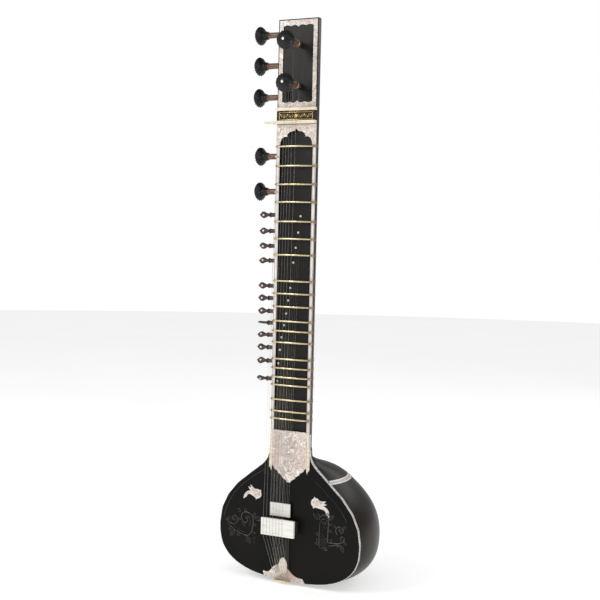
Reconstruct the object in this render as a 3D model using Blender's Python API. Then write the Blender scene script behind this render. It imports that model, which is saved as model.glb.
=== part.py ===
"""A sitar: a hollow neck with tied, sliding frets, a gourd under a thin soundboard, two flat bridges,
seven main pegs, twelve sympathetic pegs and nineteen strings.

The neck runs along +Z and the strings face -Y. Inside this file the plane of the neck's front edges is
y = 0. Everything hangs from one empty, which moves the origin to the gourd's lowest point.
"""

import math

import bmesh
import bpy
from mathutils import Vector

MM = 0.001
GAP = 0.3 * MM

# Neck: a hollowed trough with a round back, closed in front by the fingerboard and the head panel.
NECK_WIDTH = 95 * MM
NECK_BACK = 42 * MM
NECK_SIDE = 3 * MM
NECK_BOTTOM_Z = 307 * MM
NECK_LENGTH = 916 * MM
NECK_WALL = 8.5 * MM
BACK_WALL = 7 * MM
HEAD_END_WALL = 8 * MM
RAIL_WIDTH = 8 * MM
LEDGE_DEPTH = 11.3 * MM
LEDGE_WIDTH = 2.2 * MM

# Fingerboard and head panel.
BOARD_EDGE_DEPTH = 4.5 * MM
BOARD_CENTRE_DEPTH = 7 * MM
PANEL_RECESS = 0.8 * MM
PANEL_LENGTH = 220 * MM
SLOT_BELOW_TOP = 163 * MM
SLOT_LENGTH = 20 * MM
SLOT_WIDTH = 2.4 * MM

# Speaking length, frets and the two bridges. A fret's place is given in semitones above the open string.
NUT_BELOW_TOP = 222 * MM
BRIDGE_LINE_Z = 152.5 * MM
FRET_SEMITONES = (
    1.00, 1.92, 2.84, 3.77, 4.86, 5.89, 6.91, 8.71, 9.65, 10.68,
    11.90, 12.79, 13.87, 15.58, 16.61, 17.69, 18.68, 20.69, 22.46, 23.75,
)
FRET_RADIUS = 1.7 * MM
FRET_RISE = 7 * MM
FRET_OVERHANG = 0.5 * MM

MAIN_BRIDGE_HEIGHT = 27 * MM
MAIN_BRIDGE_WIDTH = 80 * MM
MAIN_BRIDGE_DEPTH = 37 * MM
MAIN_BRIDGE_PLATE = 6 * MM
SMALL_BRIDGE_HEIGHT = 11 * MM
SMALL_BRIDGE_WIDTH = 49 * MM
SMALL_BRIDGE_DEPTH = 29 * MM
SMALL_BRIDGE_PLATE = 3.5 * MM
BRIDGE_SPACING = 3 * MM
BRIDGE_X = -12.4 * MM
SMALL_BRIDGE_X = -15 * MM

# Gourd and heel: one turned outer form, cut flat in front and divided at the heel.
GOURD_RADIUS = 177.5 * MM
GOURD_BACK = 190 * MM
GOURD_CENTRE_Z = 117 * MM
GOURD_CENTRE_DEPTH = 56 * MM
GOURD_DROP = 105.5 * MM
GOURD_SAG = 0.08
GOURD_LEAN = 0.03
GOURD_SQUARENESS = 2.7
GOURD_WALL = 5 * MM
HEEL_OVERHANG = 1 * MM
HEEL_SEAM_Z = 238 * MM
HEEL_SOLID = 18 * MM
TENON_LENGTH = 34 * MM
# Share of the way down from the neck to the widest level: (height, width, depth of the centre).
SHOULDER = (
    (0.00, 0.00, 0.00), (0.10, 0.01, 0.02), (0.165, 0.07, 0.30), (0.226, 0.21, 0.76),
    (0.29, 0.34, 0.95), (0.36, 0.455, 1.00), (0.50, 0.675, 1.00), (0.66, 0.857, 1.00),
    (0.82, 0.962, 1.00), (1.00, 1.00, 1.00),
)

SOUNDBOARD_THICKNESS = 3.5 * MM
SOUNDBOARD_DOME = 2.5 * MM
SOUNDBOARD_RIM_DEPTH = 0.3 * MM

# Bone and celluloid trim.
PLATE_THICKNESS = 0.9 * MM
NUT_HEIGHT = 13 * MM
NUT_THICKNESS = 6.5 * MM
NUT_SPUR = 28 * MM
GUIDE_ABOVE_NUT = 31 * MM
GUIDE_HEIGHT = 11 * MM
GUIDE_THICKNESS = 6 * MM
GUIDE_HOLE_DEPTH = 8 * MM
GUIDE_HOLE_RADIUS = 1.1 * MM
NAMEPLATE_THICKNESS = 2.2 * MM
FRAME_BAND = 9 * MM
FRAME_BAND_END = 12.5 * MM
FRAME_MARGIN = 2.5 * MM
ARCH_LENGTH = 43.5 * MM
ROOT_PLATE_TOP_Z = 342 * MM
ROOT_PLATE_INSET = 6.3 * MM
ROOT_PLATE_SIDE = 77 * MM
ROOT_PLATE_LENGTH = 112 * MM

# Pegs.
PEG_DEPTH = 20 * MM
PEG_RADIUS = 6.5 * MM
PEG_END_RADIUS = 4.5 * MM
PEG_CLEARANCE = 0.35 * MM
PEG_HEAD_RADIUS = 20.5 * MM
PEG_HEAD_LENGTH = 25 * MM
PEG_OUT = 42 * MM
DRONE_PEG_OUT = 36 * MM
FRONT_PEG_OUT = 51 * MM
FRONT_PEG_X = 2.5 * MM
# Distances below the neck's top, and for the drone pegs below the nut.
SIDE_PEG_DROP = (28 * MM, 94 * MM, 162 * MM)
FRONT_PEG_DROP = (54 * MM, 142 * MM)
DRONE_PEG_DROP = (67 * MM, 143 * MM)
TARAB_RADIUS = 4.6 * MM
TARAB_END_RADIUS = 3.6 * MM
TARAB_OUT = 23 * MM
TARAB_IN = 22 * MM
TARAB_HEAD_RADIUS = 7.5 * MM
TARAB_HEAD_LENGTH = 26 * MM
TARAB_HEAD_FLATNESS = 0.42
# Each sympathetic peg: height above the bridge line at the usual speaking length, and its head's angle.
USUAL_SCALE = 848.5 * MM
TARAB_PEGS = (
    (655, 10), (620, -8), (587.5, 20), (555.5, -25), (500.5, 10), (473.5, 5),
    (445, -12), (419.5, 76), (393, -35), (365.5, 8), (336, -20), (297, 40),
)
# Each string hole of the fingerboard: sideways place. Its height is its own peg's.
TARAB_HOLE_X = (10.7, 5.7, 0.4, -4.5, -10.5, -15, -19, -23.5, -28.5, -32, -34.8, -36.2)
TARAB_HOLE_RADIUS = 1.2 * MM
TARAB_HOLE_DROP = 2.5 * MM

# Strings: sideways places at the guide, the nut and the main bridge.
STRING_RADIUS = 0.4 * MM
TARAB_STRING_RADIUS = 0.3 * MM
PLAYED_STRINGS = ((8.2, 5, 0), (-7, -4, -7.5), (-13, -10.5, -15), (-19, -17, -22.5), (-25, -23.5, -30))
DRONE_STRINGS_AT_BRIDGE = (-38, -46)
DRONE_STRING_HEIGHT = 9 * MM
TAIL_X = -9 * MM
TAIL_STRING_SPACING = 5.4 * MM
TAIL_TARAB_SPACING = 2.6 * MM
TAIL_BAR_HEIGHT = 1.2 * MM
TAILPIECE_WIDTH = 38 * MM
TAILPIECE_HEIGHT = 3.2 * MM
TAILPIECE_FRONT = 8.8 * MM
TAIL_STRING_DEPTH = -7.8 * MM
TAIL_TARAB_DEPTH = -5.2 * MM
TAIL_PLATE_X = -14 * MM
TAIL_PLATE_HEIGHT = 38 * MM
TAIL_PLATE_LEFT = 44.5 * MM
TAIL_PLATE_RIGHT = 58 * MM
LEAF_WIDTH = 19.6 * MM
LEAF_LENGTH = 38 * MM
LEAF_THICKNESS = 2 * MM
LEAF_X = -8.3 * MM
LEAF_ABOVE_EDGE = 13.5 * MM

# Places that follow from the sizes above.
NECK_HALF = NECK_WIDTH / 2
NECK_TOP_Z = NECK_BOTTOM_Z + NECK_LENGTH
TROUGH_HALF = NECK_HALF - RAIL_WIDTH
ROOT_PLATE_HALF_WIDTH = NECK_HALF - ROOT_PLATE_INSET
HEEL_WIDTH = NECK_WIDTH + 2 * HEEL_OVERHANG
PANEL_TOP_Z = NECK_TOP_Z - HEAD_END_WALL - GAP
PANEL_BOTTOM_Z = PANEL_TOP_Z - PANEL_LENGTH
SLOT_Z = NECK_TOP_Z - SLOT_BELOW_TOP
NUT_Z = NECK_TOP_Z - NUT_BELOW_TOP
GUIDE_Z = NUT_Z + GUIDE_ABOVE_NUT
SCALE_LENGTH = NUT_Z - BRIDGE_LINE_Z
SIDE_PEG_Z = tuple(NECK_TOP_Z - drop for drop in SIDE_PEG_DROP)
FRONT_PEG_Z = tuple(NECK_TOP_Z - drop for drop in FRONT_PEG_DROP)
DRONE_PEG_Z = tuple(NUT_Z - drop for drop in DRONE_PEG_DROP)
TARAB_Z = tuple(BRIDGE_LINE_Z + height * MM * SCALE_LENGTH / USUAL_SCALE for height, _ in TARAB_PEGS)
MAIN_BRIDGE_Z = BRIDGE_LINE_Z - MAIN_BRIDGE_DEPTH / 2
SMALL_BRIDGE_Z = BRIDGE_LINE_Z + BRIDGE_SPACING + SMALL_BRIDGE_DEPTH / 2
FRET_Z = tuple(BRIDGE_LINE_Z + SCALE_LENGTH * 2 ** (-s / 12) for s in FRET_SEMITONES)
BODY_RIM_DEPTH = SOUNDBOARD_RIM_DEPTH + SOUNDBOARD_THICKNESS + GAP

BLACK = (0.012, 0.011, 0.010)
BONE = (0.82, 0.77, 0.64)
WHITE_BONE = (0.86, 0.85, 0.80)
PEARL = (0.72, 0.68, 0.66)
BRASS = (0.62, 0.47, 0.20)
STEEL = (0.55, 0.54, 0.50)
ROSEWOOD = (0.09, 0.035, 0.022)
COPPER_BROWN = (0.22, 0.09, 0.035)


# Shared tools -----------------------------------------------------------------------------------------

def clear_scene():
    for old in list(bpy.data.objects):
        bpy.data.objects.remove(old, do_unlink=True)


def finish(name, color, roughness, metallic=0.0):
    material = bpy.data.materials.new(name)
    material.use_nodes = True
    shader = material.node_tree.nodes["Principled BSDF"]
    shader.inputs["Base Color"].default_value = (*color, 1.0)
    shader.inputs["Roughness"].default_value = roughness
    shader.inputs["Metallic"].default_value = metallic
    return material


def place(name, data, material, location=(0, 0, 0), rotation=(0, 0, 0)):
    thing = bpy.data.objects.new(name, data)
    bpy.context.collection.objects.link(thing)
    thing.location = location
    thing.rotation_euler = rotation
    thing.parent = bpy.data.objects["sitar_frame"]
    if material:
        data.materials.append(material)
    return thing


def mesh_from(bm, name, smooth=True):
    bmesh.ops.remove_doubles(bm, verts=bm.verts, dist=1e-6)
    bmesh.ops.recalc_face_normals(bm, faces=bm.faces)
    mesh = bpy.data.meshes.new(name)
    bm.to_mesh(mesh)
    bm.free()
    if smooth:
        mesh.shade_smooth()
        mesh.set_sharp_from_angle(angle=math.radians(35))
    return mesh


def prism(name, outline, low, high, material, axis="Z"):
    """A straight solid whose cross-section is the outline, from low to high along the axis."""
    turn = {"Z": lambda a, b, c: (a, b, c), "Y": lambda a, b, c: (a, c, b), "X": lambda a, b, c: (c, a, b)}
    bm = bmesh.new()
    face = bm.faces.new([bm.verts.new(turn[axis](a, b, low)) for a, b in outline])
    grown = bmesh.ops.extrude_face_region(bm, geom=[face])
    shift = Vector(turn[axis](0, 0, high - low))
    bmesh.ops.translate(bm, vec=shift, verts=[v for v in grown["geom"] if isinstance(v, bmesh.types.BMVert)])
    return place(name, mesh_from(bm, name), material)


def cut_plate(name, outlines, front, back, material):
    """A flat plate between two depths, with its first outline outside and the others as holes."""
    curve = bpy.data.curves.new(name, "CURVE")
    curve.dimensions = "2D"
    curve.fill_mode = "BOTH"
    curve.extrude = (back - front) / 2
    for outline in outlines:
        line = curve.splines.new("POLY")
        line.points.add(len(outline) - 1)
        for point, (x, z) in zip(line.points, outline):
            point.co = (x, z, 0, 1)
        line.use_cyclic_u = True
    return place(name, curve, material, (0, (front + back) / 2, 0), (math.pi / 2, 0, 0))


def fitted_plate(name, outline, surface, thickness, material, cuts=()):
    """A thin plate that follows the surface under it: surface(x, z) is the depth of its back."""
    bm = bmesh.new()
    bm.faces.new([bm.verts.new((x, 0, z)) for x, z in outline])
    for point, normal in cuts:
        whole = bm.verts[:] + bm.edges[:] + bm.faces[:]
        bmesh.ops.bisect_plane(bm, geom=whole, plane_co=point, plane_no=normal)
    for vert in bm.verts:
        vert.co.y = surface(vert.co.x, vert.co.z) - GAP
    grown = bmesh.ops.extrude_face_region(bm, geom=bm.faces[:])
    moved = [v for v in grown["geom"] if isinstance(v, bmesh.types.BMVert)]
    bmesh.ops.translate(bm, vec=(0, -thickness, 0), verts=moved)
    return place(name, mesh_from(bm, name, smooth=False), material)


def turned(bm, profile, segments):
    """Spins a profile of (distance along X, radius), whose ends lie on the axis, round the X axis."""
    verts = [bm.verts.new((along, 0, radius)) for along, radius in profile]
    edges = [bm.edges.new(pair) for pair in zip(verts, verts[1:])]
    bmesh.ops.spin(bm, geom=verts + edges, cent=(0, 0, 0), axis=(1, 0, 0), angle=2 * math.pi,
                   steps=segments, use_merge=True)
    bmesh.ops.remove_doubles(bm, verts=bm.verts, dist=1e-6)


def sweep(bm, face, path, radius):
    """Grows a face along a path as a four-sided string, turning its ring with the path."""
    side = Vector((1, 0, 0))
    ring = list(face.verts)
    steps = [(b - a).normalized() for a, b in zip(path, path[1:])]
    tangents = [steps[0]] + [(a + b).normalized() for a, b in zip(steps, steps[1:])] + [steps[-1]]
    before = Vector((0, 0, 1))
    grown = face
    for number, (point, tangent) in enumerate(zip(path, tangents)):
        side = before.rotation_difference(tangent) @ side
        before = tangent
        up = tangent.cross(side)
        corners = [point + radius * (a * side + b * up) for a, b in ((-1, -1), (1, -1), (1, 1), (-1, 1))]
        if number == 0:
            order = {vert: min(corners, key=lambda c: (c - vert.co).length) for vert in ring}
            slots = [corners.index(order[vert]) for vert in ring]
            continue
        result = bmesh.ops.extrude_discrete_faces(bm, faces=[grown])
        grown = result["faces"][0]
        for vert, slot in zip(grown.verts, slots):
            vert.co = corners[slot]


def string_group(name, bar_depth, bar_z, strings, radius, material):
    """Strings side by side that share one bar at the tail. strings is a list of (x, path)."""
    strings = sorted(strings, key=lambda item: item[0])
    stops = [strings[0][0] - 2 * MM - radius]
    for x, _ in strings:
        stops += [x - radius, x + radius]
    stops.append(strings[-1][0] + 2 * MM + radius)
    bm = bmesh.new()
    low, high = bar_z, bar_z + TAIL_BAR_HEIGHT
    rows = [[bm.verts.new((x, y, z)) for x in stops]
            for y, z in ((bar_depth - radius, low), (bar_depth + radius, low),
                         (bar_depth + radius, high), (bar_depth - radius, high))]
    tops = []
    for a, b in zip(rows, rows[1:] + rows[:1]):
        for i in range(len(stops) - 1):
            face = bm.faces.new((a[i], a[i + 1], b[i + 1], b[i]))
            if a is rows[2] and i % 2:
                tops.append(face)
    for end in (0, -1):
        bm.faces.new([row[end] for row in rows])
    bmesh.ops.recalc_face_normals(bm, faces=bm.faces)
    for face, (x, path) in zip(tops, strings):
        start = Vector((x, bar_depth, high))
        sweep(bm, face, [start] + [Vector(point) for point in path], radius)
    return place(name, mesh_from(bm, name, smooth=False), material)


def cylinders(name, rods, segments):
    """Cutters: each rod is (start, end, start radius, end radius). They are joined as one object."""
    bm = bmesh.new()
    for start, end, first, last in rods:
        start, end = Vector(start), Vector(end)
        along = end - start
        turn = Vector((0, 0, 1)).rotation_difference(along.normalized()).to_matrix().to_4x4()
        turn.translation = (start + end) / 2
        bmesh.ops.create_cone(bm, cap_ends=True, segments=segments, radius1=first, radius2=last,
                              depth=along.length, matrix=turn)
    return cutter(place(name, mesh_from(bm, name), None))


def cutter(thing):
    thing.hide_render = True
    thing.display_type = "WIRE"
    return thing


def combine(thing, other, operation="DIFFERENCE"):
    modifier = thing.modifiers.new(other.name, "BOOLEAN")
    modifier.operation = operation
    modifier.object = other


def half_round(half_width, back, front, centre, segments=16):
    """A cross-section that is flat in front and has a half-elliptic back."""
    arc = [(half_width * math.cos(t), centre + back * math.sin(t))
           for t in (math.pi * i / segments for i in range(segments + 1))]
    return [(-half_width, front), (half_width, front)] + arc


def box_outline(low_x, high_x, low, high):
    return [(low_x, low), (high_x, low), (high_x, high), (low_x, high)]


# Shape of the body ------------------------------------------------------------------------------------

def body_level(z):
    """Half width, depth of the centre and back depth of the body at a height."""
    if z < GOURD_CENTRE_Z:
        share = min(1, (GOURD_CENTRE_Z - z) / GOURD_DROP)
        radius = GOURD_RADIUS * (1 - share ** GOURD_SQUARENESS) ** (1 / GOURD_SQUARENESS)
        return radius, GOURD_CENTRE_DEPTH, radius * GOURD_BACK / GOURD_RADIUS
    share = (NECK_BOTTOM_Z - z) / (NECK_BOTTOM_Z - GOURD_CENTRE_Z)
    for (s0, w0, d0), (s1, w1, d1) in zip(SHOULDER, SHOULDER[1:]):
        if share <= s1:
            break
    t = (share - s0) / (s1 - s0)
    width = w0 + (w1 - w0) * t
    depth = d0 + (d1 - d0) * t
    half = HEEL_WIDTH / 2 + (GOURD_RADIUS - HEEL_WIDTH / 2) * width
    squash = NECK_BACK / NECK_HALF
    round_out = GOURD_BACK / GOURD_RADIUS - squash
    centre = NECK_SIDE + (GOURD_CENTRE_DEPTH - NECK_SIDE) * depth
    return half, centre, half * (squash + round_out * depth)


def lean(x, z):
    """How much the gourd, a grown shape, hangs lower on its right side than on its left."""
    share = (NECK_BOTTOM_Z - z) / (NECK_BOTTOM_Z - GOURD_CENTRE_Z)
    t = min(1, max(0, (share - 0.2) / 0.25))
    return GOURD_LEAN * x * t * t * (3 - 2 * t)


def body_heights():
    above = [NECK_BOTTOM_Z - share * (NECK_BOTTOM_Z - GOURD_CENTRE_Z) for share, _, _ in SHOULDER]
    below = [GOURD_CENTRE_Z - GOURD_DROP * share for share in (0.3, 0.52, 0.7, 0.83, 0.92, 0.975)]
    return above + below


def body_blank(name, wall, top_z, segments):
    """The closed outer form of heel and gourd, or with a wall the form of the hollow inside it."""
    bm = bmesh.new()
    rings = []
    heights = [top_z] + [z for z in body_heights() if z < top_z - MM]
    for z in heights:
        half, centre, back = body_level(z)
        if half <= wall + 4 * MM:
            continue
        low = max(0, GOURD_CENTRE_Z - z) / GOURD_DROP
        lift = wall * low
        ring = []
        for i in range(segments):
            t = 2 * math.pi * i / segments
            x = (half - wall) * math.cos(t)
            y = centre + (back - wall) * math.sin(t)
            sag = GOURD_SAG * (y - BODY_RIM_DEPTH) * low
            fade = max(0, 1 - y / GOURD_BACK)
            ring.append(bm.verts.new((x, y, z - sag + lift - lean(x, z) * fade)))
        rings.append(ring)
    for upper, lower in zip(rings, rings[1:]):
        for i in range(segments):
            bm.faces.new((upper[i - 1], upper[i], lower[i], lower[i - 1]))
    bm.faces.new(rings[0])
    foot_z = GOURD_CENTRE_Z - GOURD_DROP + wall
    foot_y = GOURD_CENTRE_DEPTH
    foot = bm.verts.new((0, foot_y, foot_z - GOURD_SAG * (foot_y - BODY_RIM_DEPTH)))
    for i in range(segments):
        bm.faces.new((rings[-1][i - 1], rings[-1][i], foot))
    return place(name, mesh_from(bm, name), None)


def board_outline():
    """Right and left edge of the soundboard, where the body's form meets the plane of its rim."""
    heights = [z for z in body_heights() if z < NECK_BOTTOM_Z]
    dense = [GOURD_CENTRE_Z - GOURD_DROP * share for share in (0.15, 0.42, 0.62, 0.77, 0.88, 0.95)]
    right = []
    for z in sorted(heights + dense + [NECK_BOTTOM_Z - GAP], reverse=True):
        half, centre, back = body_level(z)
        inside = 1 - ((centre - BODY_RIM_DEPTH) / back) ** 2
        if inside > 0:
            right.append((half * math.sqrt(inside), z))
    reach = (GOURD_CENTRE_DEPTH - BODY_RIM_DEPTH) / GOURD_BACK
    touch = (1 - reach ** GOURD_SQUARENESS) ** (1 / GOURD_SQUARENESS)
    bottom = [(0, GOURD_CENTRE_Z - GOURD_DROP * touch)]
    edge = right + bottom + [(-x, z) for x, z in reversed(right)]
    return [(x, z - lean(x, z)) for x, z in edge]


def rim_distance(outline, angle):
    """How far the soundboard's edge lies from its centre in a direction."""
    way = Vector((math.cos(angle), math.sin(angle)))
    for (ax, az), (bx, bz) in zip(outline, outline[1:] + outline[:1]):
        a = Vector((ax, az - GOURD_CENTRE_Z))
        b = Vector((bx, bz - GOURD_CENTRE_Z))
        cross = way.x * (b - a).y - way.y * (b - a).x
        if abs(cross) < 1e-12:
            continue
        far = (a.x * (b - a).y - a.y * (b - a).x) / cross
        along = (a.x * way.y - a.y * way.x) / cross
        if far > 0 and -1e-6 <= along <= 1 + 1e-6:
            return far
    return GOURD_DROP


def board_front(outline):
    """A function that gives the depth of the domed soundboard's front at a place on it."""
    def depth(x, z):
        away = math.hypot(x, z - GOURD_CENTRE_Z)
        share = min(1, away / rim_distance(outline, math.atan2(z - GOURD_CENTRE_Z, x)))
        return SOUNDBOARD_RIM_DEPTH - SOUNDBOARD_DOME * (1 - share ** 2)
    return depth


# Pieces -----------------------------------------------------------------------------------------------

def neck_hollow(clearance=0.0):
    """The cross-section of the space inside the neck, behind the ledges."""
    half = NECK_HALF - NECK_WALL - clearance
    back = NECK_BACK - BACK_WALL - clearance
    edge = TROUGH_HALF - LEDGE_WIDTH - clearance
    start = math.acos(edge / half)
    steps = 10
    arc = [(half * math.cos(t), NECK_SIDE + back * math.sin(t))
           for t in (start + (math.pi - 2 * start) * i / steps for i in range(steps + 1))]
    return [(-edge, LEDGE_DEPTH + clearance), (edge, LEDGE_DEPTH + clearance)] + arc


def make_neck(black):
    neck = prism("neck", half_round(NECK_HALF, NECK_BACK, 0, NECK_SIDE), NECK_BOTTOM_Z, NECK_TOP_Z, black)
    inside = neck_hollow()
    trough = [(-TROUGH_HALF, LEDGE_DEPTH), (-TROUGH_HALF, -5 * MM), (TROUGH_HALF, -5 * MM),
              (TROUGH_HALF, LEDGE_DEPTH)]
    hollow = prism("neck_hollow_cutter", trough + inside[1:] + inside[:1],
                   NECK_BOTTOM_Z - 5 * MM, NECK_TOP_Z - HEAD_END_WALL, None)
    combine(neck, cutter(hollow))
    bores = cylinders("peg_bore_cutter", side_bores() + front_bores() + tarab_bores(), 12)
    combine(neck, bores)
    return neck


def side_bores():
    """Bores of the five large side pegs: through the left wall and blind in the right one."""
    room = (PEG_CLEARANCE + GAP) / math.cos(math.pi / 12)
    start, end = -NECK_HALF - 12 * MM, peg_inner_end() + MM
    return [((start, PEG_DEPTH, z), (end, PEG_DEPTH, z), PEG_RADIUS + room, PEG_END_RADIUS + room)
            for z in SIDE_PEG_Z + DRONE_PEG_Z]


def front_bores():
    """Bores of the two front pegs: through the head panel and blind in the back wall."""
    room = (PEG_CLEARANCE + GAP) / math.cos(math.pi / 12)
    end = front_peg_end() + MM
    return [((FRONT_PEG_X, -10 * MM, z), (FRONT_PEG_X, end, z), PEG_RADIUS + room, PEG_END_RADIUS + room)
            for z in FRONT_PEG_Z]


def tarab_bores():
    room = (PEG_CLEARANCE + GAP) / math.cos(math.pi / 12)
    start, end = -NECK_HALF - 8 * MM, -NECK_HALF + TARAB_IN
    return [((start, PEG_DEPTH, z), (end, PEG_DEPTH, z), TARAB_RADIUS + room, TARAB_END_RADIUS + room)
            for z in TARAB_Z]


def peg_inner_end():
    """Where a large side peg ends, part of the way into the right wall."""
    side = math.sqrt(1 - ((PEG_DEPTH - NECK_SIDE) / (NECK_BACK - BACK_WALL)) ** 2)
    return (NECK_HALF - NECK_WALL) * side + NECK_WALL * 0.45


def front_peg_end():
    return NECK_SIDE + NECK_BACK - BACK_WALL + BACK_WALL * 0.5


def make_fingerboard(black):
    half = TROUGH_HALF - GAP
    steps = 8
    front = []
    for i in range(steps + 1):
        x = half * (1 - 2 * i / steps)
        front.append((x, board_depth(x)))
    back = [(-half, LEDGE_DEPTH - GAP), (half, LEDGE_DEPTH - GAP)]
    board = prism("fingerboard", front + back, NECK_BOTTOM_Z, PANEL_BOTTOM_Z - GAP, black)
    holes = []
    for z, x in zip(TARAB_Z, TARAB_HOLE_X):
        place_z = z - TARAB_HOLE_DROP
        holes.append(((x * MM, -MM, place_z), (x * MM, LEDGE_DEPTH + MM, place_z),
                      TARAB_HOLE_RADIUS, TARAB_HOLE_RADIUS))
    combine(board, cylinders("string_hole_cutter", holes, 8))
    return board


def board_depth(x):
    """Depth of the hollow-ground fingerboard below the neck's edges."""
    share = x / TROUGH_HALF
    return BOARD_CENTRE_DEPTH - (BOARD_CENTRE_DEPTH - BOARD_EDGE_DEPTH) * share ** 2


def make_head_panel(black):
    half = TROUGH_HALF - GAP
    outline = box_outline(-half, half, PANEL_RECESS, LEDGE_DEPTH - GAP)
    panel = prism("head_panel", outline, PANEL_BOTTOM_Z, PANEL_TOP_Z, black)
    for number, (x, _, _) in enumerate(PLAYED_STRINGS[2:], 1):
        slot = prism(f"string_slot_cutter_{number}", box_outline(x * MM - SLOT_WIDTH / 2, x * MM + SLOT_WIDTH / 2,
                                                                 -MM, LEDGE_DEPTH + MM),
                     SLOT_Z - SLOT_LENGTH / 2, SLOT_Z + SLOT_LENGTH / 2, None)
        combine(panel, cutter(slot))
    combine(panel, cylinders("front_peg_cutter", front_bores(), 12))
    return panel


def make_body(black, black_gourd):
    """Heel and gourd: the same turned form, hollowed, cut flat in front and divided at the seam."""
    front_cut = prism("body_front_cutter", box_outline(-0.4, 0.4, -0.3, BODY_RIM_DEPTH), -0.3,
                      NECK_BOTTOM_Z + 0.02, None)
    above_cut = prism("above_seam_cutter", box_outline(-0.4, 0.4, -0.5, 0.5),
                      HEEL_SEAM_Z - GAP / 2, NECK_BOTTOM_Z + 0.05, None)
    below_cut = prism("below_seam_cutter", box_outline(-0.4, 0.4, -0.5, 0.5), -0.3,
                      HEEL_SEAM_Z + GAP / 2, None)
    inner = body_blank("body_hollow_cutter", GOURD_WALL, NECK_BOTTOM_Z - HEEL_SOLID, 32)
    for piece in (front_cut, above_cut, below_cut, inner):
        cutter(piece)

    gourd = body_blank("gourd", 0, NECK_BOTTOM_Z - GAP, 40)
    gourd.data.materials.append(black_gourd)
    for piece in (above_cut, inner, front_cut):
        combine(gourd, piece)

    heel = body_blank("heel", 0, NECK_BOTTOM_Z - GAP, 40)
    heel.data.materials.append(black)
    tenon = prism("heel_tenon_shape", neck_hollow(2 * GAP), NECK_BOTTOM_Z - HEEL_SOLID / 2,
                  NECK_BOTTOM_Z + TENON_LENGTH, None)
    for piece in (below_cut, inner, front_cut):
        combine(heel, piece)
    combine(heel, cutter(tenon), "UNION")


def make_soundboard(outline, surface, black):
    bm = bmesh.new()
    shares = (1.0, 0.75, 0.4)
    centre_z = GOURD_CENTRE_Z

    def ring(share, behind):
        points = []
        for x, z in outline:
            px, pz = x * share, centre_z + (z - centre_z) * share
            points.append(bm.verts.new((px, depth_at(share) + behind, pz)))
        return points

    def depth_at(share):
        return SOUNDBOARD_RIM_DEPTH - SOUNDBOARD_DOME * (1 - share ** 2)

    fronts = [ring(share, 0) for share in shares]
    backs = [ring(share, SOUNDBOARD_THICKNESS) for share in shares]
    count = len(outline)
    for rings in (fronts, backs):
        middle = bm.verts.new((0, depth_at(0) + (SOUNDBOARD_THICKNESS if rings is backs else 0), centre_z))
        for a, b in zip(rings, rings[1:]):
            for i in range(count):
                bm.faces.new((a[i - 1], a[i], b[i], b[i - 1]))
        for i in range(count):
            bm.faces.new((rings[-1][i - 1], rings[-1][i], middle))
    for i in range(count):
        bm.faces.new((fronts[0][i - 1], fronts[0][i], backs[0][i], backs[0][i - 1]))
    return place("soundboard", mesh_from(bm, "soundboard"), black)


def make_bridge(name, centre_x, height, width, depth, plate, centre_z, surface, bone, wood):
    """A flat bone plate on a wooden stand with two feet, so that strings can pass between them."""
    low_x, high_x = centre_x - width / 2, centre_x + width / 2
    top = prism(name + "_plate", box_outline(low_x, high_x, centre_z - depth / 2, centre_z + depth / 2),
                -height, -height + plate, bone, "Y")
    bevel = top.modifiers.new("edge", "BEVEL")
    bevel.width = 0.6 * MM
    bevel.segments = 1
    foot_y = surface(centre_x, centre_z) - GAP
    inset = 2.5 * MM
    foot = width * 0.12
    under = -height + plate + GAP
    bar = min(5 * MM, (foot_y - under) * 0.4)
    arch = [(low_x + inset, foot_y), (low_x + inset, under), (high_x - inset, under), (high_x - inset, foot_y),
            (high_x - inset - foot, foot_y), (high_x - inset - foot * 1.2, under + bar),
            (low_x + inset + foot * 1.2, under + bar), (low_x + inset + foot, foot_y)]
    prism(name + "_legs", arch, centre_z - depth * 0.34, centre_z + depth * 0.34, wood)


def make_nut(bone):
    """The nut, a bone bar across the neck with a tapered spur past its left end."""
    low, high = NUT_Z, NUT_Z + NUT_THICKNESS
    nut = prism("nut", box_outline(-NECK_HALF, NECK_HALF, -NUT_HEIGHT, -GAP), low, high, bone)
    bm = bmesh.new()
    bm.from_mesh(nut.data)
    end = min(bm.faces, key=lambda face: face.calc_center_median().x)
    grown = bmesh.ops.extrude_discrete_faces(bm, faces=[end])["faces"][0]
    middle = Vector((-NECK_HALF, -NUT_HEIGHT * 0.4, (low + high) / 2))
    for vert in grown.verts:
        vert.co = middle + (vert.co - middle) * 0.95
        vert.co.x = -NECK_HALF - MM
    tip = bmesh.ops.extrude_discrete_faces(bm, faces=[grown])["faces"][0]
    for vert in tip.verts:
        vert.co = middle + (vert.co - middle) * 0.45
        vert.co.x = -NECK_HALF - NUT_SPUR
    bm.to_mesh(nut.data)
    bm.free()
    return nut


def make_string_guide(bone):
    guide = prism("string_guide", box_outline(-NECK_HALF, NECK_HALF, -GUIDE_HEIGHT, -GAP),
                  GUIDE_Z - GUIDE_THICKNESS / 2, GUIDE_Z + GUIDE_THICKNESS / 2, bone)
    reach = GUIDE_THICKNESS
    holes = [((x * MM, -GUIDE_HOLE_DEPTH, GUIDE_Z - reach), (x * MM, -GUIDE_HOLE_DEPTH, GUIDE_Z + reach),
              GUIDE_HOLE_RADIUS, GUIDE_HOLE_RADIUS) for x, _, _ in PLAYED_STRINGS]
    combine(guide, cylinders("guide_hole_cutter", holes, 8))


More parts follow.
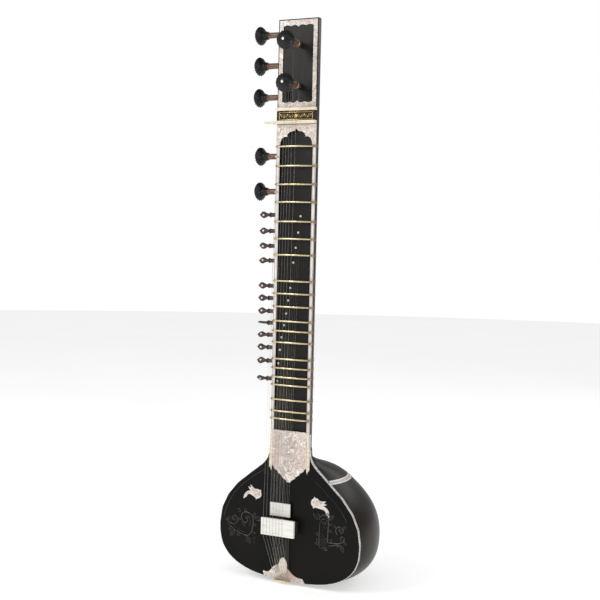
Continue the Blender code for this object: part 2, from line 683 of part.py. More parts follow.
def make_nameplate(black):
    low, high = NUT_Z + NUT_THICKNESS + MM, GUIDE_Z - GUIDE_THICKNESS / 2 - MM
    plate = prism("nameplate", box_outline(-NECK_HALF, NECK_HALF, -NAMEPLATE_THICKNESS - GAP, -GAP),
                  low, high, black)
    bevel = plate.modifiers.new("edge", "BEVEL")
    bevel.width = 0.5 * MM
    bevel.segments = 1


def scalloped(low_x, high_x, z, bulge, lobes, rise):
    """Points of an edge of shallow lobes that meet in a small point at the middle."""
    points = []
    for lobe in range(lobes):
        for step in range(4):
            share = (lobe + step / 4) / lobes
            swell = math.sin(math.pi * step / 4) * bulge
            point = rise if lobe * 2 == lobes and step == 0 else 0
            points.append((low_x + (high_x - low_x) * share, z + swell - point))
    points.append((high_x, z))
    return points


def make_head_frame(pearl):
    half = NECK_HALF - FRAME_MARGIN
    low = GUIDE_Z + GUIDE_THICKNESS / 2 + MM
    high = NECK_TOP_Z - FRAME_MARGIN
    outer = box_outline(-half, half, low, high)
    inner_half = half - FRAME_BAND
    bulge = 2.2 * MM
    bottom = scalloped(-inner_half, inner_half, low + FRAME_BAND_END, -bulge, 4, -2 * MM)
    top = scalloped(inner_half, -inner_half, high - FRAME_BAND_END, bulge, 4, 2 * MM)
    cut_plate("head_frame", [outer, bottom + top], -PLATE_THICKNESS - GAP, -GAP, pearl)


def lobe_points(centre_x, centre_z, radius_x, radius_z, start, end, steps):
    return [(centre_x + radius_x * math.cos(t), centre_z + radius_z * math.sin(t))
            for t in (math.radians(start + (end - start) * i / steps) for i in range(steps + 1))]


def arch_edge(foot_z):
    """Right half of the five-lobed arch, from its foot to its point."""
    outer = lobe_points(25 * MM, foot_z + 4 * MM, 13 * MM, 14 * MM, -5, 112, 6)
    inner = lobe_points(9.5 * MM, foot_z + 18 * MM, 12.5 * MM, 11 * MM, 5, 84, 5)
    return [(TROUGH_HALF - GAP, foot_z)] + outer + inner + [(4 * MM, foot_z + 30 * MM), (0, foot_z + 35 * MM)]


def make_arch_plate(pearl):
    high = NUT_Z - MM
    low = high - ARCH_LENGTH
    right = arch_edge(low)
    left = [(-x, z) for x, z in reversed(right[:-1])]
    outline = [(NECK_HALF, low), (NECK_HALF, high), (-NECK_HALF, high), (-NECK_HALF, low)] + \
        [(-x, z) for x, z in right[:-1]] + [(0, right[-1][1])] + [(-x, z) for x, z in left]
    cut_plate("arch_plate", [outline], -PLATE_THICKNESS - GAP, -GAP, pearl)


def root_plate_outline():
    half = ROOT_PLATE_HALF_WIDTH
    top = ROOT_PLATE_TOP_Z
    side_end = top - ROOT_PLATE_SIDE
    tip = top - ROOT_PLATE_LENGTH
    steps = 4
    right = [(half, top), (half, side_end)]
    for i in range(steps):
        near = half * (1 - (i + 0.45) / steps)
        z = side_end + (tip - side_end) * (i + 0.55) / steps
        right.append((near, z))
        right.append((near - 0.5 * MM, z - 3 * MM))
    return right + [(0, tip)] + [(-x, z) for x, z in reversed(right)]


def make_root_plate(surface, pearl):
    def under(x, z):
        return 0.0 if z > NECK_BOTTOM_Z else min(0.0, surface(x, z))
    levels = (NECK_BOTTOM_Z, NECK_BOTTOM_Z - 25 * MM, NECK_BOTTOM_Z - 50 * MM)
    cuts = [((0, 0, z), (0, 0, 1)) for z in levels]
    fitted_plate("root_plate", root_plate_outline(), under, PLATE_THICKNESS, pearl, cuts)


def tail_plate_outline(outline):
    """A bell that stands on the soundboard's lower edge, with a flared tip at each side."""
    left = ((1.0, 0.39), (0.86, 0.355), (0.71, 0.38), (0.55, 0.53), (0.47, 0.68), (0.29, 0.83), (0.11, 0.91))
    right = ((0.12, 0.88), (0.236, 0.76), (0.357, 0.61), (0.46, 0.45), (0.60, 0.32), (0.73, 0.26), (0.90, 0.255))
    foot = bottom_edge(outline, TAIL_PLATE_X)
    points = [(TAIL_PLATE_X - TAIL_PLATE_LEFT * x, foot + TAIL_PLATE_HEIGHT * z) for x, z in left]
    points.append((TAIL_PLATE_X, foot + TAIL_PLATE_HEIGHT))
    points += [(TAIL_PLATE_X + TAIL_PLATE_RIGHT * x, foot + TAIL_PLATE_HEIGHT * z) for x, z in right]
    low_x, high_x = TAIL_PLATE_X - TAIL_PLATE_LEFT * 0.96, TAIL_PLATE_X + TAIL_PLATE_RIGHT
    steps = 7
    for i in range(steps + 1):
        x = high_x + (low_x - high_x) * i / steps
        points.append((x, bottom_edge(outline, x) + MM))
    return points


def bottom_edge(outline, x):
    """Height of the soundboard's lower edge at a sideways place."""
    for (ax, az), (bx, bz) in zip(outline, outline[1:]):
        if min(az, bz) < GOURD_CENTRE_Z - GOURD_DROP * 0.5 and min(ax, bx) <= x <= max(ax, bx):
            return az + (bz - az) * (x - ax) / (bx - ax)
    return GOURD_CENTRE_Z - GOURD_DROP


def make_tail(outline, surface, pearl, bone, brass):
    """Tail plate, the leaf on it, and the tailpiece at its foot that holds the strings."""
    fitted_plate("tail_plate", tail_plate_outline(outline), surface, PLATE_THICKNESS, pearl)
    top = tailpiece_top(outline)
    half = TAILPIECE_WIDTH / 2
    back = surface(TAIL_X, top) - PLATE_THICKNESS - 2.5 * GAP
    prism("tailpiece", box_outline(TAIL_X - half, TAIL_X + half, -TAILPIECE_FRONT, back),
          top - TAILPIECE_HEIGHT, top, brass)
    make_tail_leaf(bottom_edge(outline, LEAF_X) + LEAF_ABOVE_EDGE, surface, bone)


def tailpiece_top(outline):
    """The tailpiece sits on the foot of the tail plate and overhangs the soundboard's edge a little."""
    return bottom_edge(outline, TAIL_X) + TAILPIECE_HEIGHT * 0.5


def make_tail_leaf(foot_z, surface, bone):
    """A carved bone leaf with two points at its foot, lying on the tail plate under the strings."""
    half = LEAF_WIDTH / 2
    share = ((0.48, 0.0), (0.85, 0.18), (0.97, 0.40), (1.0, 0.62), (0.75, 0.83), (0.38, 0.96), (0.0, 1.0))
    right = [(LEAF_X + half * x, foot_z + LEAF_LENGTH * z) for x, z in share]
    left = [(2 * LEAF_X - x, z) for x, z in reversed(right[:-1])]
    outline = right + left + [(LEAF_X, foot_z + LEAF_LENGTH * 0.16)]

    def back(x, z):
        return surface(x, z) - GAP - PLATE_THICKNESS

    fitted_plate("tail_leaf", outline, back, LEAF_THICKNESS, bone)


def make_strings(top, steel):
    """Seven strings over the main bridge and twelve under the frets, each set joined at the tail."""
    rest = GAP + STRING_RADIUS
    over = -MAIN_BRIDGE_HEIGHT - rest
    bridge_high = MAIN_BRIDGE_Z + MAIN_BRIDGE_DEPTH / 2
    bridge_low = MAIN_BRIDGE_Z - MAIN_BRIDGE_DEPTH / 2
    nut_high = NUT_Z + NUT_THICKNESS
    nut_y = -NUT_HEIGHT - rest
    ends = []
    for number, (guide_x, nut_x, bridge_x) in enumerate(PLAYED_STRINGS):
        path = [(bridge_x * MM, over, bridge_low), (bridge_x * MM, over, bridge_high),
                (nut_x * MM, nut_y, NUT_Z), (nut_x * MM, nut_y, nut_high),
                (guide_x * MM, -GUIDE_HOLE_DEPTH, GUIDE_Z - GUIDE_THICKNESS),
                (guide_x * MM, -GUIDE_HOLE_DEPTH, GUIDE_Z + GUIDE_THICKNESS)]
        path += peg_end_of(number, guide_x * MM)
        ends.append((bridge_x, path))
    rail_x = -NECK_HALF + RAIL_WIDTH / 2
    for bridge_x, peg_z in zip(DRONE_STRINGS_AT_BRIDGE, DRONE_PEG_Z):
        rail_z = peg_z - 2 * MM
        path = [(bridge_x * MM, over, bridge_low), (bridge_x * MM, over, bridge_high),
                (rail_x, -DRONE_STRING_HEIGHT, rail_z), (rail_x, -GAP, rail_z + 0.5 * MM)]
        ends.append((bridge_x, path))
    ends.sort(key=lambda item: item[0])
    start = TAIL_X - TAIL_STRING_SPACING * (len(ends) - 1) / 2
    strings = [(start + TAIL_STRING_SPACING * i, path) for i, (_, path) in enumerate(ends)]
    string_group("playing_strings", TAIL_STRING_DEPTH, top + GAP, strings, STRING_RADIUS, steel)

    rest = GAP + TARAB_STRING_RADIUS
    over = -SMALL_BRIDGE_HEIGHT - rest
    high, low = SMALL_BRIDGE_Z + SMALL_BRIDGE_DEPTH / 2, SMALL_BRIDGE_Z - SMALL_BRIDGE_DEPTH / 2
    count = len(TARAB_Z)
    across = (SMALL_BRIDGE_WIDTH - 5 * MM) / (count - 1)
    start = TAIL_X - TAIL_TARAB_SPACING * (count - 1) / 2
    strings = []
    for i, (peg_z, hole_x) in enumerate(zip(reversed(TARAB_Z), reversed(TARAB_HOLE_X))):
        x = SMALL_BRIDGE_X - SMALL_BRIDGE_WIDTH / 2 + 2.5 * MM + across * i
        hole_z = peg_z - TARAB_HOLE_DROP
        shaft_y = PEG_DEPTH - TARAB_RADIUS - PEG_CLEARANCE - TARAB_STRING_RADIUS
        above = board_depth(hole_x * MM) - 1.2 * MM
        path = [(x, over, low), (x, over, high), (hole_x * MM, above, hole_z),
                (hole_x * MM, LEDGE_DEPTH + MM, hole_z),
                (-NECK_HALF + TARAB_IN - 3 * MM, shaft_y, hole_z + TARAB_HOLE_DROP)]
        strings.append((start + TAIL_TARAB_SPACING * i, path))
    string_group("sympathetic_strings", TAIL_TARAB_DEPTH, top + GAP, strings, TARAB_STRING_RADIUS, steel)


def peg_end_of(number, x):
    """The end of a played string: beside a front peg's stem, or through the slot to a side peg."""
    beside = PEG_RADIUS + PEG_CLEARANCE + STRING_RADIUS
    if number < 2:
        way = 1 if number == 0 else -1
        z = FRONT_PEG_Z[1 - number]
        return [(FRONT_PEG_X + way * beside, -14 * MM, z)]
    z = SIDE_PEG_Z[4 - number]
    return [(x, 0, SLOT_Z - SLOT_LENGTH / 2 + 4 * MM), (x, LEDGE_DEPTH + MM, SLOT_Z + SLOT_LENGTH / 2 - 3 * MM),
            (x, PEG_DEPTH - beside, z + MM)]


def make_fret(name, z, brass):
    """A brass rod arched over the strings below it, with a grooved knob at each end for its tie."""
    curve = bpy.data.curves.new(name, "CURVE")
    curve.dimensions = "3D"
    curve.bevel_depth = FRET_RADIUS
    curve.bevel_resolution = 1
    curve.use_fill_caps = True
    end = NECK_HALF + FRET_OVERHANG
    foot = TROUGH_HALF + RAIL_WIDTH / 2
    seat = -FRET_RADIUS * 1.25 - GAP
    points = [(-end, seat, 1.0), (-end + 1.5 * MM, seat, 1.25), (-end + 3 * MM, seat, 0.85)]
    steps = 8
    for i in range(steps + 1):
        x = -foot + 2 * foot * i / steps
        points.append((x, seat - FRET_RISE * (1 - (x / foot) ** 2), 1.0))
    points += [(end - 3 * MM, seat, 0.85), (end - 1.5 * MM, seat, 1.25), (end, seat, 1.0)]
    line = curve.splines.new("POLY")
    line.points.add(len(points) - 1)
    for point, (x, y, width) in zip(line.points, points):
        point.co = (x, y, 0, 1)
        point.radius = width
    place(name, curve, brass, (0, 0, z))


def main_peg_profile(out, shaft_end):
    """A main peg along -X: its head beyond out, a flared collar and a shaft tapered to shaft_end."""
    head = PEG_HEAD_RADIUS
    tip = out - PEG_HEAD_LENGTH
    profile = [(tip, 0), (tip + 1.5 * MM, head * 0.5), (tip + 5 * MM, head * 0.82), (tip + 10.5 * MM, head),
               (tip + 15 * MM, head * 0.97), (tip + 20 * MM, head * 0.72), (out - 1.5 * MM, PEG_RADIUS * 1.5),
               (out + 6 * MM, PEG_RADIUS * 1.3), (out + 8 * MM, PEG_RADIUS),
               (shaft_end, PEG_END_RADIUS), (shaft_end, 0)]
    return profile


def make_side_peg(name, z, reach, copper):
    bm = bmesh.new()
    turned(bm, main_peg_profile(-NECK_HALF - reach, peg_inner_end()), 16)
    place(name, mesh_from(bm, name), copper, (0, PEG_DEPTH, z))


def make_front_peg(name, z, copper):
    """The same peg, pointing forward through the head panel."""
    bm = bmesh.new()
    turned(bm, main_peg_profile(-FRONT_PEG_OUT, front_peg_end()), 16)
    place(name, mesh_from(bm, name), copper, (FRONT_PEG_X, 0, z), (0, 0, math.pi / 2))


def make_tarab_peg(name, z, angle, rosewood):
    """A small peg: tapered shaft, ring collar, waist, and a flattened head that ends in a point."""
    out = -NECK_HALF - TARAB_OUT
    head = TARAB_HEAD_RADIUS
    length = TARAB_HEAD_LENGTH
    tip = out - length
    profile = [(tip, 0), (tip + length * 0.10, head * 0.34), (tip + length * 0.24, head * 0.86),
               (tip + length * 0.38, head), (tip + length * 0.55, head * 0.86), (tip + length * 0.78, head * 0.5),
               (out - MM, head * 0.46), (out, head * 0.74), (out + 2.5 * MM, head * 0.74),
               (out + 3.5 * MM, TARAB_RADIUS), (-NECK_HALF + TARAB_IN - MM, TARAB_END_RADIUS),
               (-NECK_HALF + TARAB_IN - MM, 0)]
    bm = bmesh.new()
    turned(bm, profile, 12)
    for vert in bm.verts:
        into_head = min(1, max(0, (out - 1.5 * MM - vert.co.x) / (length * 0.35)))
        vert.co.y *= 1 - (1 - TARAB_HEAD_FLATNESS) * into_head
    place(name, mesh_from(bm, name), rosewood, (0, PEG_DEPTH, z), (math.radians(angle), 0, 0))


def make_sitar():
    clear_scene()
    frame = bpy.data.objects.new("sitar_frame", None)
    bpy.context.collection.objects.link(frame)

    black = finish("black_lacquer", BLACK, 0.3)
    black_gourd = finish("black_gourd", BLACK, 0.35)
    bone = finish("bone", BONE, 0.4)
    white_bone = finish("white_bone", WHITE_BONE, 0.35)
    pearl = finish("pearl_celluloid", PEARL, 0.3)
    brass = finish("brass", BRASS, 0.3, 1.0)
    steel = finish("string_steel", STEEL, 0.3, 1.0)
    rosewood = finish("rosewood", ROSEWOOD, 0.35)
    copper = finish("stained_peg_wood", COPPER_BROWN, 0.4)

    outline = board_outline()
    surface = board_front(outline)

    make_neck(black)
    make_fingerboard(black)
    make_head_panel(black)
    make_body(black, black_gourd)
    make_soundboard(outline, surface, black)
    make_bridge("main_bridge", BRIDGE_X, MAIN_BRIDGE_HEIGHT, MAIN_BRIDGE_WIDTH, MAIN_BRIDGE_DEPTH, MAIN_BRIDGE_PLATE,
                MAIN_BRIDGE_Z, surface, white_bone, rosewood)
    make_bridge("small_bridge", SMALL_BRIDGE_X, SMALL_BRIDGE_HEIGHT, SMALL_BRIDGE_WIDTH, SMALL_BRIDGE_DEPTH,
                SMALL_BRIDGE_PLATE, SMALL_BRIDGE_Z, surface, white_bone, rosewood)
    make_nut(bone)
    make_string_guide(bone)
    make_nameplate(black)
    make_head_frame(pearl)
    make_arch_plate(pearl)
    make_root_plate(surface, pearl)
    make_tail(outline, surface, pearl, bone, brass)
    make_strings(tailpiece_top(outline), steel)

    for number, z in enumerate(FRET_Z, 1):
        make_fret(f"fret_{number:02d}", z, brass)
    for number, z in enumerate(SIDE_PEG_Z, 1):
        make_side_peg(f"side_peg_{number}", z, PEG_OUT, copper)
    for number, z in enumerate(DRONE_PEG_Z, 1):
        make_side_peg(f"drone_peg_{number}", z, DRONE_PEG_OUT, copper)
    for number, z in enumerate(FRONT_PEG_Z, 1):
        make_front_peg(f"front_peg_{number}", z, copper)
    for number, (z, (_, angle)) in enumerate(zip(TARAB_Z, TARAB_PEGS), 1):
        make_tarab_peg(f"sympathetic_peg_{number:02d}", z, angle, rosewood)

    low = min((vert.co for vert in bpy.data.objects["gourd"].data.vertices), key=lambda co: co.z)
    frame.location = (0, -low.y, -low.z)


make_sitar()
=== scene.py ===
import math

import bmesh
import bpy
from mathutils import Matrix, Vector
from mathutils.bvhtree import BVHTree


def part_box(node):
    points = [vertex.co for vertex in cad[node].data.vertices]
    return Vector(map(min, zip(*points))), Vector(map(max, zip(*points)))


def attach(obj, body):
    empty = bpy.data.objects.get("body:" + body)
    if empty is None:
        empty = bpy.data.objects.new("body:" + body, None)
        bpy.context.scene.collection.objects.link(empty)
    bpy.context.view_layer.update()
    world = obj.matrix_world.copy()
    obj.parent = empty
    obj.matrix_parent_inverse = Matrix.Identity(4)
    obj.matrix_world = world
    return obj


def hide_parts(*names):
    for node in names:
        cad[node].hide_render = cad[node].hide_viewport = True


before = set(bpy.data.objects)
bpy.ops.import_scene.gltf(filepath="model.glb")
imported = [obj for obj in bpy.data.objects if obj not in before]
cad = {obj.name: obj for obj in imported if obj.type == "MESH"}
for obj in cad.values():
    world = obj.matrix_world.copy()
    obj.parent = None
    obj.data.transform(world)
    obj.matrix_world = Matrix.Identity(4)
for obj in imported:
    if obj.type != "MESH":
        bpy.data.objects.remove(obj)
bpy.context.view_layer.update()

# Setting up. The model is loaded, and the neck's box sets where places are measured from.
# Places are given in millimetres: sideways, behind the plane of the neck's front edges, and height.
MM = 0.001
NECK_FOOT = 307
front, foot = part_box("neck")[0].y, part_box("neck")[0].z


def at(x, behind, up):
    """A world point from millimetres: sideways, behind the neck's front plane, and height."""
    return Vector((x * MM, front + behind * MM, foot + (up - NECK_FOOT) * MM))


# Camera. It stands to the instrument's right, a little above its middle, and looks slightly down.
CAMERA_PLACE = (1148.4, -2220.1, 758.9)
CAMERA_YAW, CAMERA_PITCH, CAMERA_ROLL = math.radians(27), math.radians(3.05), math.radians(1.28)
camera_data = bpy.data.cameras.new("camera")
camera_data.lens = 69.94
camera_data.sensor_width = 36
camera = bpy.data.objects.new("camera", camera_data)
bpy.context.scene.collection.objects.link(camera)
forward = Vector((-math.sin(CAMERA_YAW) * math.cos(CAMERA_PITCH),
                  math.cos(CAMERA_YAW) * math.cos(CAMERA_PITCH), -math.sin(CAMERA_PITCH)))
level = forward.cross(Vector((0, 0, 1))).normalized()
upright = level.cross(forward)
right = math.cos(CAMERA_ROLL) * level + math.sin(CAMERA_ROLL) * upright
above = -math.sin(CAMERA_ROLL) * level + math.cos(CAMERA_ROLL) * upright
camera.matrix_world = Matrix.Translation(at(*CAMERA_PLACE)) @ Matrix((right, above,
                                                                      -forward)).transposed().to_4x4()
bpy.context.scene.camera = camera


# Studio. A plain pale floor under the gourd, a white surround and three large soft lights.
# The surround is bright to look at and dimmer as a light, so that black lacquer stays black.
def add(tree, kind, inputs=None, **settings):
    """One shader node: its settings, then its inputs, each a value or another node's output."""
    node = tree.nodes.new("ShaderNode" + kind)
    for label, value in settings.items():
        setattr(node, label, value)
    for label, value in (inputs or {}).items():
        if isinstance(value, bpy.types.NodeSocket):
            tree.links.new(value, node.inputs[label])
        else:
            node.inputs[label].default_value = value
    return node


def start_material(name, settings):
    """A new material with its shader's own values set. Returns the material, its nodes and the shader."""
    made = bpy.data.materials.new(name)
    made.use_nodes = True
    shader = made.node_tree.nodes["Principled BSDF"]
    for label, value in settings.items():
        shader.inputs[label].default_value = value
    return made, made.node_tree, shader


def ramp(tree, value, stops, mode="EASE"):
    """A colour ramp over a value, with (place, colour) stops."""
    node = add(tree, "ValToRGB", {"Fac": value})
    node.color_ramp.interpolation = mode
    while len(node.color_ramp.elements) < len(stops):
        node.color_ramp.elements.new(0.5)
    for element, (place, color) in zip(node.color_ramp.elements, stops):
        element.position = place
        element.color = (*color, 1) if isinstance(color, tuple) else (color, color, color, 1)
    return node.outputs["Color"]


FLOOR_RADIUS = 9
bm = bmesh.new()
bmesh.ops.create_circle(bm, cap_ends=True, segments=96, radius=FLOOR_RADIUS)
floor_mesh = bpy.data.meshes.new("floor")
bm.to_mesh(floor_mesh)
bm.free()
floor = bpy.data.objects.new("floor", floor_mesh)
floor.location.z = -0.0006
bpy.context.scene.collection.objects.link(floor)
floor_finish, tree, shader = start_material("pale_floor", {"Roughness": 0.9, "Specular IOR Level": 0.1,
                                                           "Emission Color": (1, 1, 1, 1),
                                                           "Emission Strength": 0.5})
cloud = add(tree, "TexNoise", {"Vector": add(tree, "TexCoord").outputs["Object"], "Scale": 2.0})
tree.links.new(ramp(tree, cloud.outputs["Fac"], ((0.3, (0.90, 0.90, 0.90)), (0.7, (0.93, 0.93, 0.925)))),
               shader.inputs["Base Color"])
floor_mesh.materials.append(floor_finish)

world = bpy.data.worlds.new("studio")
bpy.context.scene.world = world
world.use_nodes = True
tree = world.node_tree
surround = tree.nodes["Background"]
surround.inputs["Color"].default_value = (1, 1, 1, 1)
strength = add(tree, "MapRange", {"Value": add(tree, "LightPath").outputs["Is Camera Ray"],
                                  "To Min": 0.42, "To Max": 1.0})
tree.links.new(strength.outputs["Result"], surround.inputs["Strength"])
for name, place, width, height, power in (
        ("key_light", (-1.9, -2.6, 2.3), 1.5, 1.9, 46),
        ("fill_light", (2.6, -2.2, 1.4), 1.4, 1.8, 26),
        ("rim_light", (1.2, 2.4, 2.2), 1.6, 1.2, 16)):
    lamp = bpy.data.lights.new(name, "AREA")
    lamp.shape = "RECTANGLE"
    lamp.size, lamp.size_y = width, height
    lamp.energy = power
    light = bpy.data.objects.new(name, lamp)
    light.location = place
    light.rotation_euler = (Vector((0, 0, 0.6)) - Vector(place)).to_track_quat("-Z", "Y").to_euler()
    bpy.context.scene.collection.objects.link(light)
bpy.context.scene.view_settings.view_transform = "Standard"


# Neck, fingerboard and head panel. Hardwood under black spirit lacquer, rubbed satin, with a faint
# brown cast where the film is thin and fine hand marks along it.
def start_group(name, inputs, outputs):
    """A shader node group with named sockets. Returns it with its input and output sockets."""
    tree = bpy.data.node_groups.new(name, "ShaderNodeTree")
    for label, value in inputs.items():
        socket = tree.interface.new_socket(label, in_out="INPUT", socket_type="NodeSocketFloat")
        socket.default_value = value
    for label, kind in outputs.items():
        tree.interface.new_socket(label, in_out="OUTPUT", socket_type="NodeSocket" + kind)
    return tree, tree.nodes.new("NodeGroupInput").outputs, tree.nodes.new("NodeGroupOutput").inputs


def mixed(tree, mask, low, high):
    """Two colours mixed by a mask."""
    node = add(tree, "Mix", {"Factor": mask}, data_type="RGBA")
    for socket, value in ((node.inputs[6], low), (node.inputs[7], high)):
        if isinstance(value, bpy.types.NodeSocket):
            tree.links.new(value, socket)
        else:
            socket.default_value = (*value, 1)
    return node.outputs[2]


def spread(tree, value, low, high):
    """A mask from 0 to 1 turned into a value from low to high."""
    return add(tree, "MapRange", {"Value": value, "To Min": low, "To Max": high}).outputs["Result"]


def bumped(tree, shader, height, distance, strength=1.0):
    """Feed a height into a shader's normal through a bump node."""
    bump = add(tree, "Bump", {"Height": height, "Distance": distance, "Strength": strength})
    tree.links.new(bump.outputs["Normal"], shader.inputs["Normal"])


film, entry, result = start_group("lacquer_film", {"Cloud Scale": 9, "Mark Scale": 60},
                                  {"Thin": "Float", "Marks": "Float", "Height": "Float"})
spot = add(film, "TexCoord").outputs["Object"]
cloud = add(film, "TexNoise", {"Vector": spot, "Scale": entry["Cloud Scale"], "Detail": 5, "Roughness": 0.6})
film.links.new(add(film, "MapRange", {"Value": cloud.outputs["Fac"], "From Min": 0.42,
                                      "From Max": 0.72}).outputs[0],
               result["Thin"])
lengthwise = add(film, "Mapping", {"Vector": spot, "Scale": (9, 9, 0.7)})
marks = add(film, "TexNoise", {"Vector": lengthwise.outputs[0], "Scale": entry["Mark Scale"], "Detail": 4})
film.links.new(add(film, "MapRange", {"Value": marks.outputs["Fac"], "From Min": 0.45,
                                      "From Max": 0.75}).outputs[0],
               result["Marks"])
ripple = add(film, "TexNoise", {"Vector": spot, "Scale": 260, "Detail": 2})
film.links.new(add(film, "Math", {0: marks.outputs["Fac"], 1: ripple.outputs["Fac"]},
                   operation="ADD").outputs[0],
               result["Height"])

wear, entry, result = start_group("edge_wear", {"Amount": 0.5}, {"Worn": "Float"})
rounded = add(wear, "Bevel", {"Radius": 0.0012}, samples=4)
plain = add(wear, "NewGeometry")
facing = add(wear, "VectorMath", {0: rounded.outputs["Normal"], 1: plain.outputs["Normal"]},
             operation="DOT_PRODUCT")
sharpness = add(wear, "MapRange", {"Value": facing.outputs["Value"], "From Min": 0.985, "From Max": 0.86})
patches = add(wear, "TexNoise", {"Vector": add(wear, "TexCoord").outputs["Object"], "Scale": 45, "Detail": 6})
torn = add(wear, "Math", {0: sharpness.outputs[0], 1: patches.outputs["Fac"]}, operation="MULTIPLY")
wear.links.new(add(wear, "Math", {0: torn.outputs[0], 1: entry["Amount"]}, operation="MULTIPLY").outputs[0],
               result["Worn"])


def lacquered(name, deep, thin, low_gloss, high_gloss, cloud_scale, coat, shine=0.24):
    """Spirit lacquer: film thickness changes its colour, hand marks its gloss, and edges are worn."""
    made, tree, shader = start_material(name, {"Coat Weight": coat, "Coat Roughness": 0.16,
                                               "Specular IOR Level": shine})
    coatings = add(tree, "Group", {}, node_tree=film)
    coatings.inputs["Cloud Scale"].default_value = cloud_scale
    rubbed = add(tree, "Group", {}, node_tree=wear)
    rubbed.inputs["Amount"].default_value = 0.5
    color = mixed(tree, coatings.outputs["Thin"], deep, thin)
    tree.links.new(mixed(tree, rubbed.outputs["Worn"], color, (0.075, 0.045, 0.028)),
                   shader.inputs["Base Color"])
    tree.links.new(spread(tree, coatings.outputs["Marks"], low_gloss, high_gloss), shader.inputs["Roughness"])
    bumped(tree, shader, coatings.outputs["Height"], 0.00006, 0.35)
    return made


def dress(finish, *names, smooth=32):
    """Give solids a finish and smooth shading with sharp edges split at an angle."""
    for name in names:
        mesh = cad[name].data
        mesh.materials.clear()
        mesh.materials.append(finish)
        if "custom_normal" in mesh.attributes:
            mesh.attributes.remove(mesh.attributes["custom_normal"])
        mesh.shade_smooth()
        weld = cad[name].modifiers.new("weld", "WELD")
        weld.merge_threshold = 1e-6
        edges = cad[name].modifiers.new("edges", "EDGE_SPLIT")
        edges.split_angle = math.radians(smooth)


black_lacquer = lacquered("black_lacquer", (0.007, 0.0064, 0.0055), (0.015, 0.012, 0.009), 0.34, 0.5, 9,
                          0.03, 0.22)
dress(black_lacquer, "neck", "fingerboard", "head_panel", "nameplate")


# Edge covers. Strips of pale celluloid glued along both front edges of the neck, each scored with two
# black lines and set with a row of grey dots along its outer edge.
COVER_INNER, COVER_OUTER = 39.7, 47.4
COVER_LOW, COVER_HIGH = 342.5, 955.8
COVER_RISE = 0.22


def piece(name, bm, finishes, body="sitar", smooth=32, weld=1e-7):
    """Turns a bmesh into an object that rides on a body."""
    bmesh.ops.remove_doubles(bm, verts=bm.verts, dist=weld)
    bmesh.ops.recalc_face_normals(bm, faces=bm.faces)
    mesh = bpy.data.meshes.new(name)
    bm.to_mesh(mesh)
    bm.free()
    for finish in finishes if isinstance(finishes, (list, tuple)) else [finishes]:
        mesh.materials.append(finish)
    mesh.shade_smooth()
    mesh.set_sharp_from_angle(angle=math.radians(smooth))
    made = bpy.data.objects.new(name, mesh)
    bpy.context.scene.collection.objects.link(made)
    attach(made, body)
    return made


def strip(bm, low, high, chamfer, steps=1):
    """A long flat bar along Z with chamfered front edges, between two corners."""
    (x0, y0, z0), (x1, y1, z1) = low, high
    section = ((x0, y1), (x0, y0 + chamfer), (x0 + chamfer, y0), (x1 - chamfer, y0), (x1, y0 + chamfer),
               (x1, y1))
    rings = []
    for step in range(steps + 1):
        z = z0 + (z1 - z0) * step / steps
        rings.append([bm.verts.new(at(x, y, z)) for x, y in section])
    for a, b in zip(rings, rings[1:]):
        for i in range(len(section)):
            j = (i + 1) % len(section)
            bm.faces.new((a[i], a[j], b[j], b[i]))
    bm.faces.new(rings[0])
    bm.faces.new(rings[-1])


def stud(bm, centre, normal, radius, rise, sides=8, sink=0.2 * MM, index=0):
    """A low round dot that stands on a surface."""
    normal = normal.normalized()
    side = normal.orthogonal().normalized()
    other = normal.cross(side)
    rings = []
    for share, lift in ((1, -sink), (1, rise * 0.45), (0.72, rise * 0.9)):
        rings.append([bm.verts.new(centre + normal * lift + radius * share * (
            side * math.cos(2 * math.pi * i / sides) + other * math.sin(2 * math.pi * i / sides)))
            for i in range(sides)])
    tip = bm.verts.new(centre + normal * rise)
    made = [bm.faces.new(rings[0])]
    for a, b in zip(rings, rings[1:]):
        made += [bm.faces.new((a[i], a[(i + 1) % sides], b[(i + 1) % sides], b[i])) for i in range(sides)]
    made += [bm.faces.new((rings[-1][i], rings[-1][(i + 1) % sides], tip)) for i in range(sides)]
    for face in made:
        face.material_index = index


celluloid, tree, shader = start_material("ivory_celluloid", {"Specular IOR Level": 0.5, "Coat Weight": 0.15})
spot = add(tree, "TexCoord").outputs["Object"]
drawn = add(tree, "Mapping", {"Vector": spot, "Scale": (6, 6, 0.35)})
streak = add(tree, "TexNoise", {"Vector": drawn.outputs[0], "Scale": 90, "Detail": 5})
blush = add(tree, "TexNoise", {"Vector": spot, "Scale": 38, "Detail": 3})
color = ramp(tree, streak.outputs["Fac"], ((0.30, (0.62, 0.52, 0.47)), (0.5, (0.80, 0.73, 0.69)),
                                           (0.7, (0.88, 0.83, 0.80))))
soil = add(tree, "MapRange", {"Value": blush.outputs["Fac"], "From Min": 0.5, "From Max": 0.75,
                              "To Max": 0.6})
tree.links.new(mixed(tree, soil.outputs[0], color, (0.70, 0.60, 0.58)), shader.inputs["Base Color"])
tree.links.new(spread(tree, streak.outputs["Fac"], 0.25, 0.5), shader.inputs["Roughness"])
bumped(tree, shader, streak.outputs["Fac"], 0.00004, 0.4)

ink, tree, shader = start_material("black_inlay", {"Roughness": 0.5})
speck = add(tree, "TexNoise", {"Vector": add(tree, "TexCoord").outputs["Object"], "Scale": 400, "Detail": 3})
tree.links.new(ramp(tree, speck.outputs["Fac"], ((0.35, (0.014, 0.013, 0.012)), (0.7, (0.05, 0.045, 0.04)))),
               shader.inputs["Base Color"])

